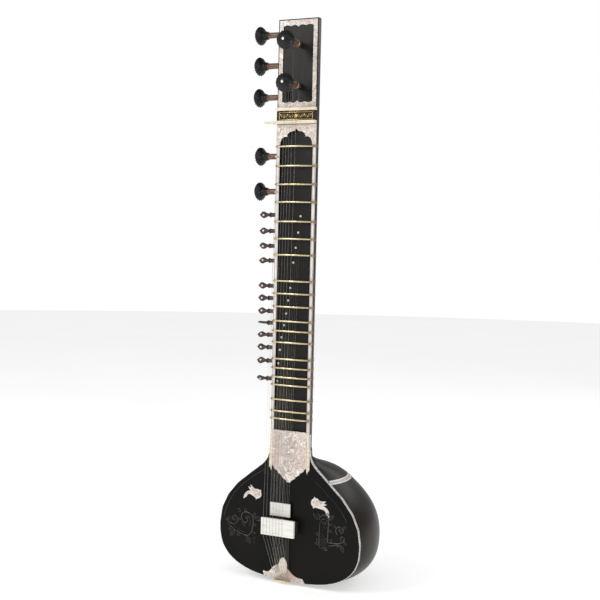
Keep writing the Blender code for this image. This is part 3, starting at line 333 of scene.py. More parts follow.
grey_dot, tree, shader = start_material("grey_dot", {"Roughness": 0.42})
speck = add(tree, "TexNoise", {"Vector": add(tree, "TexCoord").outputs["Object"], "Scale": 320, "Detail": 3})
tree.links.new(ramp(tree, speck.outputs["Fac"], ((0.3, (0.10, 0.09, 0.085)), (0.7, (0.26, 0.23, 0.21)))),
               shader.inputs["Base Color"])

for side, word in ((-1, "left"), (1, "right")):
    bm = bmesh.new()
    inner, outer = sorted((side * COVER_INNER, side * COVER_OUTER))
    strip(bm, (inner, -COVER_RISE, COVER_LOW), (outer, 0.4, COVER_HIGH), 0.14, 24)
    piece("edge_cover_" + word, bm, celluloid)
    bm = bmesh.new()
    for x in (41.3, 45.7):
        strip(bm, (side * x - 0.22, -COVER_RISE - 0.05, COVER_LOW + 0.4),
              (side * x + 0.22, 0.1, COVER_HIGH - 0.4), 0.02, 4)
    piece("cover_lines_" + word, bm, ink)
    bm = bmesh.new()
    up = COVER_LOW + 1.5
    while up < COVER_HIGH - 1:
        stud(bm, at(side * 46.6, -COVER_RISE, up), Vector((0, -1, 0)), 0.55 * MM, 0.06 * MM)
        up += 2.3
    piece("cover_dots_" + word, bm, grey_dot)


# Pearl plates. Sheets of marbled pearl celluloid, scraped flat and glued: the head's frame, the arch
# below the nut, the root plate where neck meets body, and the tail plate.
pearly, entry, result = start_group("marbled_pearl", {"Patch Scale": 130, "Blush": 0.5},
                                    {"Color": "Color", "Gloss": "Float", "Height": "Float"})
spot = add(pearly, "TexCoord").outputs["Object"]
swirl = add(pearly, "TexNoise", {"Vector": spot, "Scale": 55, "Detail": 3, "Distortion": 0.6})
bent = add(pearly, "MixRGB", {"Fac": 0.035, "Color1": spot, "Color2": swirl.outputs["Color"]})
flakes = add(pearly, "TexVoronoi", {"Vector": bent.outputs[0], "Scale": entry["Patch Scale"],
                                    "Randomness": 1.0})
veins = add(pearly, "TexNoise", {"Vector": bent.outputs[0], "Scale": entry["Patch Scale"], "Detail": 6,
                                 "Roughness": 0.62, "Distortion": 1.4})
shades = ramp(pearly, veins.outputs["Fac"], ((0.34, (0.26, 0.205, 0.175)), (0.45, (0.46, 0.385, 0.335)),
                                             (0.53, (0.70, 0.61, 0.55)), (0.63, (1.0, 0.95, 0.88))))
flake_tone = add(pearly, "SeparateColor", {"Color": flakes.outputs["Color"]})
tinted = mixed(pearly, add(pearly, "Math", {0: flake_tone.outputs[0], 1: 0.3},
                           operation="MULTIPLY").outputs[0],
               shades, (0.88, 0.80, 0.73))
warm = add(pearly, "TexNoise", {"Vector": spot, "Scale": 24, "Detail": 2})
rosy = add(pearly, "MapRange", {"Value": warm.outputs["Fac"], "From Min": 0.47, "From Max": 0.68})
rosy = add(pearly, "Math", {0: rosy.outputs[0], 1: entry["Blush"]}, operation="MULTIPLY")
pearly.links.new(mixed(pearly, rosy.outputs[0], tinted, (0.56, 0.40, 0.345)), result["Color"])
pearly.links.new(spread(pearly, flake_tone.outputs[1], 0.2, 0.42), result["Gloss"])
pearly.links.new(veins.outputs["Fac"], result["Height"])


def pearl(name, patch_scale, blush):
    """Marbled pearl celluloid in patches of a given scale."""
    made, tree, shader = start_material(name, {"Coat Weight": 0.2, "Coat Roughness": 0.15,
                                               "Specular IOR Level": 0.45})
    sheet = add(tree, "Group", {}, node_tree=pearly)
    sheet.inputs["Patch Scale"].default_value = patch_scale
    sheet.inputs["Blush"].default_value = blush
    for label, socket in (("Color", "Base Color"), ("Gloss", "Roughness")):
        tree.links.new(sheet.outputs[label], shader.inputs[socket])
    bumped(tree, shader, sheet.outputs["Height"], 0.00008, 0.3)
    return made


head_pearl = pearl("head_pearl", 150, 0.5)
root_pearl = pearl("root_pearl", 125, 0.8)
tail_pearl = pearl("tail_pearl", 170, 0.95)
inlay_pearl = pearl("inlay_pearl", 240, 1.0)
dress(head_pearl, "head_frame", "arch_plate")
dress(root_pearl, "root_plate")
dress(tail_pearl, "tail_plate")


# Bone and pale camel bone: the nut, the string guide, both bridge plates and the tail leaf. Sawn bone,
# with fine pores and faint yellow streaks along its length, polished where the strings bear.
streaks, entry, result = start_group("bone_streaks", {"Streak Scale": 120, "Pore Scale": 900},
                                     {"Tone": "Float", "Pores": "Float"})
spot = add(streaks, "TexCoord").outputs["Object"]
sawn = add(streaks, "Mapping", {"Vector": spot, "Scale": (0.35, 3, 3)})
tone = add(streaks, "TexNoise", {"Vector": sawn.outputs[0], "Scale": entry["Streak Scale"], "Detail": 5})
streaks.links.new(tone.outputs["Fac"], result["Tone"])
pores = add(streaks, "TexVoronoi", {"Vector": sawn.outputs[0], "Scale": entry["Pore Scale"]})
streaks.links.new(add(streaks, "MapRange", {"Value": pores.outputs["Distance"], "From Min": 0.05,
                                            "From Max": 0.3}).outputs[0], result["Pores"])


def bone(name, dark, pale, streak_scale):
    """Sawn bone, streaked between a dark and a pale tone."""
    made, tree, shader = start_material(name, {"Subsurface Weight": 0.05, "Subsurface Scale": 0.002,
                                               "Coat Weight": 0.1, "Coat Roughness": 0.2})
    sawn = add(tree, "Group", {}, node_tree=streaks)
    sawn.inputs["Streak Scale"].default_value = streak_scale
    color = ramp(tree, sawn.outputs["Tone"], ((0.32, dark),
                                              (0.5, tuple((a + 2 * b) / 3 for a, b in zip(dark, pale))),
                                              (0.68, pale)))
    tree.links.new(mixed(tree, sawn.outputs["Pores"], dark, color), shader.inputs["Base Color"])
    tree.links.new(spread(tree, sawn.outputs["Tone"], 0.42, 0.28), shader.inputs["Roughness"])
    bumped(tree, shader, sawn.outputs["Pores"], 0.00005, 0.35)
    return made


cream_bone = bone("cream_bone", (0.66, 0.55, 0.38), (0.84, 0.77, 0.62), 110)
# The tail leaf's bone is paler than the nut's, partly its own cream colour and partly painted light for the
# light the tilted leaf doesn't catch.
leaf_bone_painted_light = bone("leaf_bone_painted_light", (0.86, 0.74, 0.55), (1.0, 0.93, 0.78), 110)
pale_bone = bone("pale_bone", (0.76, 0.72, 0.66), (0.90, 0.88, 0.84), 90)
dress(cream_bone, "nut", "string_guide")
dress(leaf_bone_painted_light, "tail_leaf")
dress(pale_bone, "main_bridge_plate", "small_bridge_plate")


# Bridge stands. Small blackened hardwood tables under the bone plates, open grained and unpolished.
grain, entry, result = start_group("wood_grain", {"Grain Scale": 60, "Along X": 0.12, "Along Z": 1.0},
                                   {"Grain": "Float", "Figure": "Float"})
stretch = add(grain, "CombineXYZ", {"X": entry["Along X"], "Y": 1.0, "Z": entry["Along Z"]})
spot = add(grain, "VectorMath", {0: add(grain, "TexCoord").outputs["Object"], 1: stretch.outputs[0]},
           operation="MULTIPLY").outputs[0]
fibre = add(grain, "TexNoise", {"Vector": spot, "Scale": entry["Grain Scale"], "Detail": 8, "Roughness": 0.65,
                                "Distortion": 0.4})
grain.links.new(fibre.outputs["Fac"], result["Grain"])
bands = add(grain, "TexWave", {"Vector": spot, "Scale": entry["Grain Scale"], "Distortion": 6, "Detail": 3,
                               "Detail Scale": 1.5}, wave_type="BANDS", bands_direction="Y")
grain.links.new(bands.outputs["Fac"], result["Figure"])


def wood(name, dark, middle, pale, scale, along_x, along_z, gloss, coat):
    """Bare or oiled wood with its grain stretched along x or z."""
    made, tree, shader = start_material(name, {"Coat Weight": coat, "Coat Roughness": 0.22})
    cut = add(tree, "Group", {}, node_tree=grain)
    for label, value in (("Grain Scale", scale), ("Along X", along_x), ("Along Z", along_z)):
        cut.inputs[label].default_value = value
    body = ramp(tree, cut.outputs["Grain"], ((0.33, dark), (0.5, middle), (0.66, pale)))
    figure = add(tree, "Math", {0: cut.outputs["Figure"], 1: 0.45}, operation="MULTIPLY")
    tree.links.new(mixed(tree, figure.outputs[0], body, dark), shader.inputs["Base Color"])
    tree.links.new(spread(tree, cut.outputs["Grain"], gloss + 0.14, gloss), shader.inputs["Roughness"])
    bumped(tree, shader, cut.outputs["Grain"], 0.00012, 0.4)
    return made


blackened_wood = wood("blackened_wood", (0.012, 0.009, 0.007), (0.03, 0.022, 0.017), (0.055, 0.04, 0.03),
                      160, 0.15, 1.0, 0.5, 0.0)
dress(blackened_wood, "main_bridge_legs", "small_bridge_legs")


# Frets, tailpiece and strings. Drawn brass rods polished on top and dull at their sides, a brass
# tailpiece, and plain steel strings.
tarnish, entry, result = start_group("tarnish", {"Spot Scale": 90}, {"Dull": "Float", "Fine": "Float"})
spot = add(tarnish, "TexCoord").outputs["Object"]
blots = add(tarnish, "TexNoise", {"Vector": spot, "Scale": entry["Spot Scale"], "Detail": 6,
                                  "Roughness": 0.7})
tarnish.links.new(add(tarnish, "MapRange", {"Value": blots.outputs["Fac"], "From Min": 0.42,
                                            "From Max": 0.68}).outputs[0], result["Dull"])
hair = add(tarnish, "TexNoise", {"Vector": spot, "Scale": 900, "Detail": 3})
tarnish.links.new(hair.outputs["Fac"], result["Fine"])


def metal(name, bright, dull, low, high, spot_scale):
    """Metal with dull spots between a bright and a dull tone."""
    made, tree, shader = start_material(name, {"Metallic": 1.0})
    surface = add(tree, "Group", {}, node_tree=tarnish)
    surface.inputs["Spot Scale"].default_value = spot_scale
    tree.links.new(mixed(tree, surface.outputs["Dull"], bright, dull), shader.inputs["Base Color"])
    tree.links.new(spread(tree, surface.outputs["Dull"], low, high), shader.inputs["Roughness"])
    bumped(tree, shader, surface.outputs["Fine"], 0.00003, 0.3)
    return made


brass = metal("brass", (0.80, 0.70, 0.44), (0.46, 0.37, 0.19), 0.24, 0.48, 120)
plate_gold = metal("plate_gold", (0.95, 0.68, 0.26), (0.50, 0.32, 0.10), 0.3, 0.5, 200)
string_steel = metal("string_steel", (0.44, 0.42, 0.39), (0.24, 0.225, 0.20), 0.35, 0.55, 150)
FRET_COUNT = 20
dress(brass, "tailpiece", *(f"fret_{n:02d}" for n in range(1, FRET_COUNT + 1)), smooth=60)
dress(string_steel, "playing_strings", "sympathetic_strings", smooth=100)
for name, slimmer in (("playing_strings", 0.36), ("sympathetic_strings", 0.28)):
    cad[name].modifiers.remove(cad[name].modifiers["edges"])
    drawn_thin = cad[name].modifiers.new("drawn_thin", "DISPLACE")
    drawn_thin.strength = -slimmer * MM
    drawn_thin.mid_level = 0


# Fret ties. Waxed gut-coloured thread passed round the back of the neck in several strands, wound into
# the groove at each end of its fret and knotted over the right-hand edge. They slide with their fret.
def tube(bm, path, radii, sides=6, closed=False, index=0):
    """A round thread along a path. radii is one radius or one for each point."""
    count = len(path)
    radii = [radii] * count if isinstance(radii, (int, float)) else radii
    tangents = []
    for i in range(count):
        before = path[i - 1] if i or closed else path[i]
        after = path[(i + 1) % count] if i < count - 1 or closed else path[i]
        tangents.append((after - before).normalized())
    side = tangents[0].orthogonal().normalized()
    last = tangents[0]
    rings = []
    for point, tangent, radius in zip(path, tangents, radii):
        side = (last.rotation_difference(tangent) @ side)
        side = (side - tangent * side.dot(tangent)).normalized()
        last = tangent
        up = tangent.cross(side)
        rings.append([bm.verts.new(point + radius * (side * math.cos(2 * math.pi * k / sides) +
                                                     up * math.sin(2 * math.pi * k / sides)))
                      for k in range(sides)])
    pairs = list(zip(rings, rings[1:])) + ([(rings[-1], rings[0])] if closed else [])
    for a, b in pairs:
        for k in range(sides):
            m = (k + 1) % sides
            bm.faces.new((a[k], a[m], b[m], b[k])).material_index = index
    if not closed:
        for ring in (rings[0], rings[-1]):
            bm.faces.new(ring).material_index = index


def curved(points, steps):
    """A smooth line through every point given."""
    made = []
    ends = [2 * points[0] - points[1]] + list(points) + [2 * points[-1] - points[-2]]
    for p0, p1, p2, p3 in zip(ends, ends[1:], ends[2:], ends[3:]):
        for step in range(steps):
            t = step / steps
            made.append(0.5 * ((2 * p1) + (p2 - p0) * t + (2 * p0 - 5 * p1 + 4 * p2 - p3) * t * t +
                               (3 * p1 - p0 - 3 * p2 + p3) * t ** 3))
    return made + [points[-1]]


thread, tree, shader = start_material("waxed_thread", {"Sheen Weight": 0.2, "Sheen Roughness": 0.5})
spot = add(tree, "TexCoord").outputs["Object"]
twist = add(tree, "TexWave", {"Vector": spot, "Scale": 420, "Distortion": 1.5, "Detail": 2},
            wave_type="BANDS",
            bands_direction="DIAGONAL")
dirt = add(tree, "TexNoise", {"Vector": spot, "Scale": 130, "Detail": 4})
color = ramp(tree, twist.outputs["Fac"], ((0.2, (0.20, 0.11, 0.045)), (0.6, (0.44, 0.28, 0.13)),
                                          (0.9, (0.62, 0.45, 0.25))))
tree.links.new(mixed(tree, spread(tree, dirt.outputs["Fac"], 0.0, 0.7), color, (0.13, 0.07, 0.035)),
               shader.inputs["Base Color"])
tree.links.new(spread(tree, dirt.outputs["Fac"], 0.45, 0.7), shader.inputs["Roughness"])
bumped(tree, shader, twist.outputs["Fac"], 0.0001, 0.8)

SEAT = -2.425                  # middle of a fret's ends, in front of the neck's edges
GROOVE_X, GROOVE_RADIUS = 45.0, 1.45
THREAD_RADIUS = 0.33
BACK_X, BACK_Y, BACK_CENTRE = 47.95, 42.5, 3.0
for number in range(1, FRET_COUNT + 1):
    name = f"fret_{number:02d}"
    low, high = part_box(name)
    up = NECK_FOOT + ((low.z + high.z) / 2 - foot) / MM
    bm = bmesh.new()
    for left, right_end in ((-0.95, -2.5), (-0.32, -1.75), (0.32, 1.75), (0.95, 2.5)):
        path = [at(-GROOVE_X, SEAT - GROOVE_RADIUS - THREAD_RADIUS, up + left * 0.5),
                at(-47.0, SEAT - 1.6, up + left * 0.8), at(-48.0, SEAT, up + left),
                at(-BACK_X, 1.0, up + left)]
        for step in range(25):
            turn = math.pi * step / 24
            across = (1 - math.cos(turn)) / 2
            path.append(at(-BACK_X * math.cos(turn), BACK_CENTRE + BACK_Y * math.sin(turn),
                           up + left + (right_end - left) * across))
        path += [at(BACK_X, 0.6, up + right_end), at(48.0, SEAT + 1.2, up + right_end),
                 at(47.4, SEAT - 1.3, up + right_end * 0.75), at(45.6, SEAT - 2.4, up + right_end * 0.35),
                 at(43.6, SEAT - 2.3, up + right_end * 0.1)]
        line = curved(path, 2)
        stout = [(0.46 if 5 < i < len(line) - 6 else THREAD_RADIUS) * MM for i in range(len(line))]
        tube(bm, line, stout, 6)
    for side, first, last, turns in ((-1, -45.9, -44.1, 3), (1, 44.2, 45.8, 3)):
        winding = []
        for step in range(turns * 10 + 1):
            angle = 2 * math.pi * step / 10
            x = first + (last - first) * step / (turns * 10)
            reach = GROOVE_RADIUS + THREAD_RADIUS
            winding.append(at(x, SEAT - reach * math.cos(angle), up + reach * math.sin(angle)))
        tube(bm, winding, THREAD_RADIUS * MM, 6)
    for middle_x, wide, tall, tilt in ((43.0, 2.5, 1.7, 0.5), (43.2, 2.0, 1.9, -0.7), (42.6, 1.7, 1.3, 0.9)):
        loop = []
        for step in range(18):
            angle = 2 * math.pi * step / 18
            loop.append(at(middle_x + wide * math.cos(angle), SEAT - 2.3 - 0.8 * math.sin(2 * angle) * tilt,
                           up + tall * math.sin(angle) + tilt * 0.8 * math.cos(angle)))
        tube(bm, loop, 0.68 * MM, 7, closed=True)
    piece(name + "_tie", bm, thread, name, smooth=100)


# Grommets. Small turned bone rings pressed into the fingerboard, where each sympathetic string passes
# down to its peg.
GROMMET_X = (10.7, 5.7, 0.4, -4.5, -10.5, -15, -19, -23.5, -28.5, -32, -34.8, -36.2)
GROMMET_DROP = 2.5
GROMMET_OUTER, GROMMET_INNER = 2.3, 0.95


def skin_of(*names):
    """The front surface of some of the fixed solids, to lay pieces on."""
    verts, faces = [], []
    for name in names:
        base = len(verts)
        verts += [cad[name].matrix_world @ vert.co for vert in cad[name].data.vertices]
        faces += [[base + i for i in face.vertices] for face in cad[name].data.polygons]
    return BVHTree.FromPolygons(verts, faces)


def face_of(skin, x, z):
    """Where a line along +Y at x, z (metres) first meets a skin, and that surface's normal."""
    hit, normal, _, _ = skin.ray_cast(Vector((x, front - 0.06, z)), Vector((0, 1, 0)))
    return hit, normal


board_skin = skin_of("fingerboard")
bm = bmesh.new()
for number, x in enumerate(GROMMET_X, 1):
    low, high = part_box(f"sympathetic_peg_{number:02d}")
    z = (low.z + high.z) / 2 - GROMMET_DROP * MM
    hit, normal = face_of(board_skin, x * MM + 1.6 * MM, z)
    centre = Vector((x * MM, hit.y, z))
    facing = Vector((normal.x, min(normal.y, -abs(normal.y)), 0)).normalized()
    side = facing.orthogonal().normalized()
    other = facing.cross(side)
    rings = []
    for radius, lift in ((GROMMET_OUTER, -0.3), (GROMMET_OUTER, 0.25), (GROMMET_OUTER - 0.45, 0.6),
                         (GROMMET_INNER + 0.25, 0.55), (GROMMET_INNER, 0.3), (GROMMET_INNER, -0.3)):
        rings.append([bm.verts.new(centre + facing * lift * MM + radius * MM * (
            side * math.cos(2 * math.pi * k / 20) + other * math.sin(2 * math.pi * k / 20)))
            for k in range(20)])
    for a, b in zip(rings, rings[1:] + rings[:1]):
        for k in range(20):
            bm.faces.new((a[k], a[(k + 1) % 20], b[(k + 1) % 20], b[k]))
piece("string_grommets", bm, pale_bone, smooth=50)


# Drone string posts. Two turned bone posts near the left edge that lift the drone strings.
DRONE_POST_X, DRONE_POST_UP = -43.5, (932, 856)
bm = bmesh.new()
for up in DRONE_POST_UP:
    profile = ((0.5, 2.6), (-0.9, 2.6), (-1.4, 2.1), (-7.6, 1.75), (-8.6, 1.9), (-9.1, 1.5), (-9.6, 1.9),
               (-10.1, 1.5),
               (-10.3, 0.6))
    rings = []
    for depth, radius in profile:
        rings.append([bm.verts.new(at(DRONE_POST_X + radius * math.cos(2 * math.pi * k / 20), depth,
                                      up + radius * math.sin(2 * math.pi * k / 20))) for k in range(20)])
    for a, b in zip(rings, rings[1:]):
        for k in range(20):
            bm.faces.new((a[k], a[(k + 1) % 20], b[(k + 1) % 20], b[k]))
    bm.faces.new(rings[0])
    bm.faces.new(rings[-1])
piece("drone_posts", bm, cream_bone, smooth=40)


# Main pegs. Turned hardwood: a black lacquered head carved with spiral flutes, a bone pin at its tip,
# a black collar and a copper-brown oiled shaft that tapers into the neck.
HEAD_LENGTH, SHAFT_RADIUS = 25.0, 6.5
FLUTES = 16
peg_black = lacquered("peg_black", (0.0015, 0.0016, 0.0017), (0.004, 0.0036, 0.0034), 0.22, 0.34, 40, 0.0,
                      0.38)
shaft_wood = wood("copper_brown_wood", (0.055, 0.02, 0.009), (0.175, 0.074, 0.032), (0.33, 0.165, 0.08),
                  240, 0.12, 1.0, 0.3, 0.35)
# Along the axis from the tip, in millimetres; radius; depth of the flutes as a share of the radius.
HEAD_SHAPE = (
    (0.5, 2.2, 0.0), (0.6, 3.4, 0.04), (0.9, 5.2, 0.14), (1.5, 7.6, 0.24), (2.4, 10.2, 0.26),
    (3.7, 13.0, 0.25), (5.3, 15.7, 0.23), (7.2, 18.1, 0.21), (9.2, 19.8, 0.19), (11.2, 20.5, 0.18),
    (13.4, 20.3, 0.18), (15.6, 19.2, 0.18), (17.8, 17.2, 0.18), (19.8, 14.6, 0.17), (21.4, 12.2, 0.11),
    (22.6, 10.3, 0.05), (23.4, 9.6, 0.0), (24.0, 9.9, 0.0), (26.4, 9.6, 0.0), (27.2, 8.6, 0.0),
    (28.2, 8.4, 0.0), (29.8, 8.6, 0.0), (31.0, 8.3, 0.0), (31.6, 7.4, 0.0), (32.4, 6.9, 0.0),
)


def main_peg(name, axis, tip, inner, wall):
    """A peg from its tip along an axis into the neck. Past wall (metres from the tip) it is unpolished."""
    side = Vector((0, 0, 1))
    other = axis.cross(side)
    length = (inner - tip).length / MM
    segments = FLUTES * 8
    bm = bmesh.new()
    rings = []
    shape = [(along, radius, depth, 0) for along, radius, depth in HEAD_SHAPE]
    neck_start = HEAD_LENGTH + 8
    for step in range(15):
        along = neck_start + (length - neck_start) * step / 14
        shape.append((along, SHAFT_RADIUS + (4.5 - SHAFT_RADIUS) * step / 14, 0,
                      1 if along * MM < wall else 3))
    for along, radius, depth, _ in shape:
        ring = []
        for k in range(segments):
            angle = 2 * math.pi * k / segments
            wave = abs(math.sin(FLUTES * (angle + along * 0.06) / 2))
            reach = radius * (1 - depth * (1 - wave) ** 1.1)
            ring.append(bm.verts.new(tip + axis * along * MM + reach * MM *
                                     (side * math.cos(angle) + other * math.sin(angle))))
        rings.append(ring)
    for number, (a, b) in enumerate(zip(rings, rings[1:])):
        for k in range(segments):
            face = bm.faces.new((a[k], a[(k + 1) % segments], b[(k + 1) % segments], b[k]))
            face.material_index = shape[number + 1][3]
    bm.faces.new(rings[0])
    bm.faces.new(rings[-1]).material_index = 3
    stud(bm, tip + axis * 0.55 * MM, -axis, 2.7 * MM, 0.54 * MM, 20, index=2)
    made = piece(name + "_turned", bm, (peg_black, shaft_wood, pale_bone, blackened_wood), name,
                 smooth=45)
    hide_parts(name)


SIDE_PEGS = ("side_peg_1", "side_peg_2", "side_peg_3", "drone_peg_1", "drone_peg_2")
for name in SIDE_PEGS:
    low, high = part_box(name)
    middle = (low + high) / 2
    main_peg(name, Vector((1, 0, 0)), Vector((low.x, middle.y, middle.z)),
             Vector((high.x, middle.y, middle.z)),
             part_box("neck")[0].x + 6 * MM - low.x)
for name in ("front_peg_1", "front_peg_2"):
    low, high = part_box(name)
    middle = (low + high) / 2
    main_peg(name, Vector((0, 1, 0)), Vector((middle.x, low.y, middle.z)),
             Vector((middle.x, high.y, middle.z)),
             front + 5 * MM - low.y)
    bm = bmesh.new()
    winding = []
    for step in range(6 * 20 + 1):
        angle = 2 * math.pi * step / 20
        reach = (SHAFT_RADIUS + 0.45) * MM
        winding.append(Vector((middle.x + reach * math.cos(angle), front - (11 + 5.2 * step / 120) * MM,
                               middle.z + reach * math.sin(angle))))
    tube(bm, winding, 0.4 * MM, 6)
    piece(name + "_winding", bm, string_steel, name, smooth=100)


# Sympathetic pegs. Small rosewood pegs whose flat heads end in a point, dished on both faces with a
# bone dot, above two turned collar rings. Each is left at its own angle.
RING_OUT = 70.5                # outer side of the collar rings, from the neck's centre line
TARAB_LENGTH, TARAB_RADIUS, TARAB_FLAT = 26.0, 7.5, 0.42
TARAB_ANGLES = (10, -8, 20, -25, 10, 5, -12, 76, -35, 8, -20, 40)
# Distance from the tip as a share of the head, and radius as a share of the widest.
TARAB_HEAD = ((0, 0.02), (0.03, 0.14), (0.07, 0.24), (0.12, 0.42), (0.18, 0.66), (0.26, 0.88), (0.34, 0.985),
              (0.42, 1.0), (0.5, 0.94), (0.58, 0.81), (0.66, 0.66), (0.74, 0.53), (0.82, 0.46), (0.9, 0.44),
              (0.96, 0.45))
rosewood = wood("rosewood", (0.014, 0.006, 0.005), (0.05, 0.018, 0.012), (0.11, 0.042, 0.027), 260, 0.15,
                1.0, 0.4, 0.05)
# A darker copy of the rosewood, used as painted shade on the rim round each flat head and on its point.
rosewood_painted_shade = wood("rosewood_rim_painted_shade", (0.010, 0.006, 0.005), (0.028, 0.013, 0.010), (0.05, 0.024, 0.017),
                     260, 0.15, 1.0, 0.42, 0.05)
for number, turn in enumerate(TARAB_ANGLES, 1):
    name = f"sympathetic_peg_{number:02d}"
    low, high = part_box(name)
    centre = Vector((0, front + 20 * MM, (low.z + high.z) / 2))
    tilt = Matrix.Rotation(math.radians(turn), 3, "X")
    head_start = -RING_OUT - TARAB_LENGTH
    shape = [(head_start + share * TARAB_LENGTH, radius * TARAB_RADIUS) for share, radius in TARAB_HEAD]
    shape += [(-RING_OUT, 3.6), (-RING_OUT + 0.25, 5.1), (-RING_OUT + 0.7, 5.5), (-RING_OUT + 1.2, 5.1),
              (-RING_OUT + 1.5, 4.7), (-RING_OUT + 1.8, 5.0), (-RING_OUT + 2.2, 5.4), (-RING_OUT + 2.7, 5.0),
              (-RING_OUT + 3.2, 4.5)]
    inner = high.x / MM
    for step in range(13):
        share = step / 12
        shape.append((-RING_OUT + 3.5 + (inner + RING_OUT - 3.5) * share, 4.55 + (3.6 - 4.55) * share))
    bm = bmesh.new()
    rings = []
    segments = 40
    for x, radius in shape:
        into_head = min(1, max(0, (-RING_OUT - 1.5 - x) / (TARAB_LENGTH * 0.35)))
        ring = []
        for k in range(segments):
            angle = 2 * math.pi * k / segments
            high_z, wide_y = radius * math.cos(angle), radius * math.sin(angle)
            wide_y *= 1 - (1 - TARAB_FLAT) * into_head
            rim = abs(high_z) / max(radius, 0.01)
            along = (x - head_start) / TARAB_LENGTH
            bowl = max(0, 1 - ((along - 0.4) / 0.24) ** 2) * max(0, 1 - (rim / 0.78) ** 2)
            wide_y *= 1 - 0.22 * min(1, bowl * 1.8)
            ring.append(bm.verts.new(centre + tilt @ (Vector((x, wide_y, high_z)) * MM)))
        rings.append(ring)
    for row, (a, b) in enumerate(zip(rings, rings[1:])):
        for k in range(segments):
            face = bm.faces.new((a[k], a[(k + 1) % segments], b[(k + 1) % segments], b[k]))
            edge = abs(math.cos(2 * math.pi * (k + 0.5) / segments))
            # Faces at the point and round the rim of the head take the darker copy, as painted shade.
            face.material_index = 1 if row < 3 or (row < 11 and edge > 0.72) else 0
    bm.faces.new(rings[0]).material_index = 1
    bm.faces.new(rings[-1])
    for way in (-1, 1):
        stud(bm, centre + tilt @ (Vector((head_start + 0.4 * TARAB_LENGTH, way * 2.15, 0)) * MM),
             tilt @ Vector((0, way, 0)), 2.1 * MM, 0.5 * MM, 16, index=2)
    made = piece(name + "_turned", bm, (rosewood, rosewood_painted_shade, pale_bone), name, smooth=50)
    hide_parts(name)


# Gourd, heel and soundboard. A dried gourd and a carved wooden heel under black lacquer, browner and
# less even than the neck's, and a thin domed board.
gourd_lacquer = lacquered("gourd_lacquer", (0.0045, 0.0036, 0.0026), (0.022, 0.0135, 0.0075), 0.32, 0.46, 5,
                          0.0, 0.17)
board_lacquer = lacquered("board_lacquer", (0.0035, 0.0033, 0.0030), (0.0075, 0.0062, 0.0048), 0.36, 0.5, 7,
                          0.0, 0.12)
dress(board_lacquer, "soundboard", smooth=30)
for name, word in (("gourd", "gourd_shell"), ("heel", "carved_heel")):
    bm = bmesh.new()
    bm.from_mesh(cad[name].data)
    bmesh.ops.remove_doubles(bm, verts=bm.verts, dist=1e-6)
    bmesh.ops.join_triangles(bm, faces=bm.faces[:], angle_face_threshold=math.radians(30),
                             angle_shape_threshold=math.radians(40))
    crease = bm.edges.layers.float.new("crease_edge")
    for edge in bm.edges:
        if len(edge.link_faces) != 2 or edge.calc_face_angle() > math.radians(38):
            edge[crease] = 1.0
    made = piece(word, bm, gourd_lacquer, smooth=40)
    rounding = made.modifiers.new("rounding", "SUBSURF")
    rounding.levels = rounding.render_levels = 2
    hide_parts(name)


# Root strips. Two cream bone strips beside the root plate, each with a pointed foot and rows of small
# brown dots along its inner line and outer edge.
body_skin = skin_of("neck", "fingerboard", "soundboard", "heel", "gourd")


def inlay(name, outline, rise, finish, grid=4.0, skin=None, sink=0.5, chamfer=0.0):
    """A thin plate cut to an outline of (x, height) and laid on the surface under it."""
    skin = skin or body_skin
    bm = bmesh.new()
    bm.faces.new([bm.verts.new(at(x, 0, z)) for x, z in outline])
    for axis, values in ((0, [p[0] for p in outline]), (2, [p[1] for p in outline])):
        place = math.ceil(min(values) / grid) * grid
        while place < max(values):
            point = at(place, 0, 0) if axis == 0 else at(0, 0, place)
            normal = (1, 0, 0) if axis == 0 else (0, 0, 1)
            bmesh.ops.bisect_plane(bm, geom=bm.verts[:] + bm.edges[:] + bm.faces[:], plane_co=point,
                                   plane_no=normal)
            place += grid
    bmesh.ops.triangulate(bm, faces=[face for face in bm.faces if len(face.verts) > 4])
    for vert in bm.verts:
        hit, _ = face_of(skin, vert.co.x, vert.co.z)
        vert.co.y = (hit.y if hit else front) - rise * MM
    grown = bmesh.ops.extrude_face_region(bm, geom=bm.faces[:])
    moved = [part for part in grown["geom"] if isinstance(part, bmesh.types.BMVert)]
    bmesh.ops.translate(bm, vec=(0, (rise + sink) * MM, 0), verts=moved)
    made = piece(name, bm, finish, smooth=35)
    if chamfer:
        bevel = made.modifiers.new("edge", "BEVEL")
        bevel.width = chamfer * MM
        bevel.segments = 2
        bevel.limit_method = "ANGLE"
        bevel.angle_limit = math.radians(50)
    return made


brown_dot, tree, shader = start_material("brown_dot", {"Roughness": 0.5})
speck = add(tree, "TexNoise", {"Vector": add(tree, "TexCoord").outputs["Object"], "Scale": 500, "Detail": 3})
tree.links.new(ramp(tree, speck.outputs["Fac"], ((0.3, (0.12, 0.075, 0.045)), (0.7, (0.30, 0.20, 0.13)))),
               shader.inputs["Base Color"])
ROOT_STRIP = ((41.5, 342.0), (47.35, 342.0), (47.4, 320.0), (48.0, 305.0), (48.8, 292.0), (49.2, 280.0),
              (49.0, 262.0), (47.6, 257.5), (46.2, 263.0), (45.0, 257.0), (43.5, 251.5), (42.3, 259.0),
              (41.5, 268.0))
for side, word in ((-1, "left"), (1, "right")):
    inlay("root_strip_" + word, [(side * x, z) for x, z in ROOT_STRIP], 0.95, cream_bone, chamfer=0.2)
    strip_skin = BVHTree.FromObject(bpy.data.objects["root_strip_" + word],
                                    bpy.context.evaluated_depsgraph_get())
    bm = bmesh.new()
    up = 340.0
    while up > 266:
        for x, radius in ((42.35, 0.32), (46.55 + max(0, min(1.6, (312 - up) * 0.055)), 0.42)):
            hit, normal = face_of(strip_skin, side * x * MM, at(0, 0, up).z)
            if hit:
                stud(bm, hit, Vector((0, -1, 0)), radius * MM, 0.08 * MM, 8)
        up -= 1.9
    piece("root_strip_dots_" + word, bm, brown_dot)


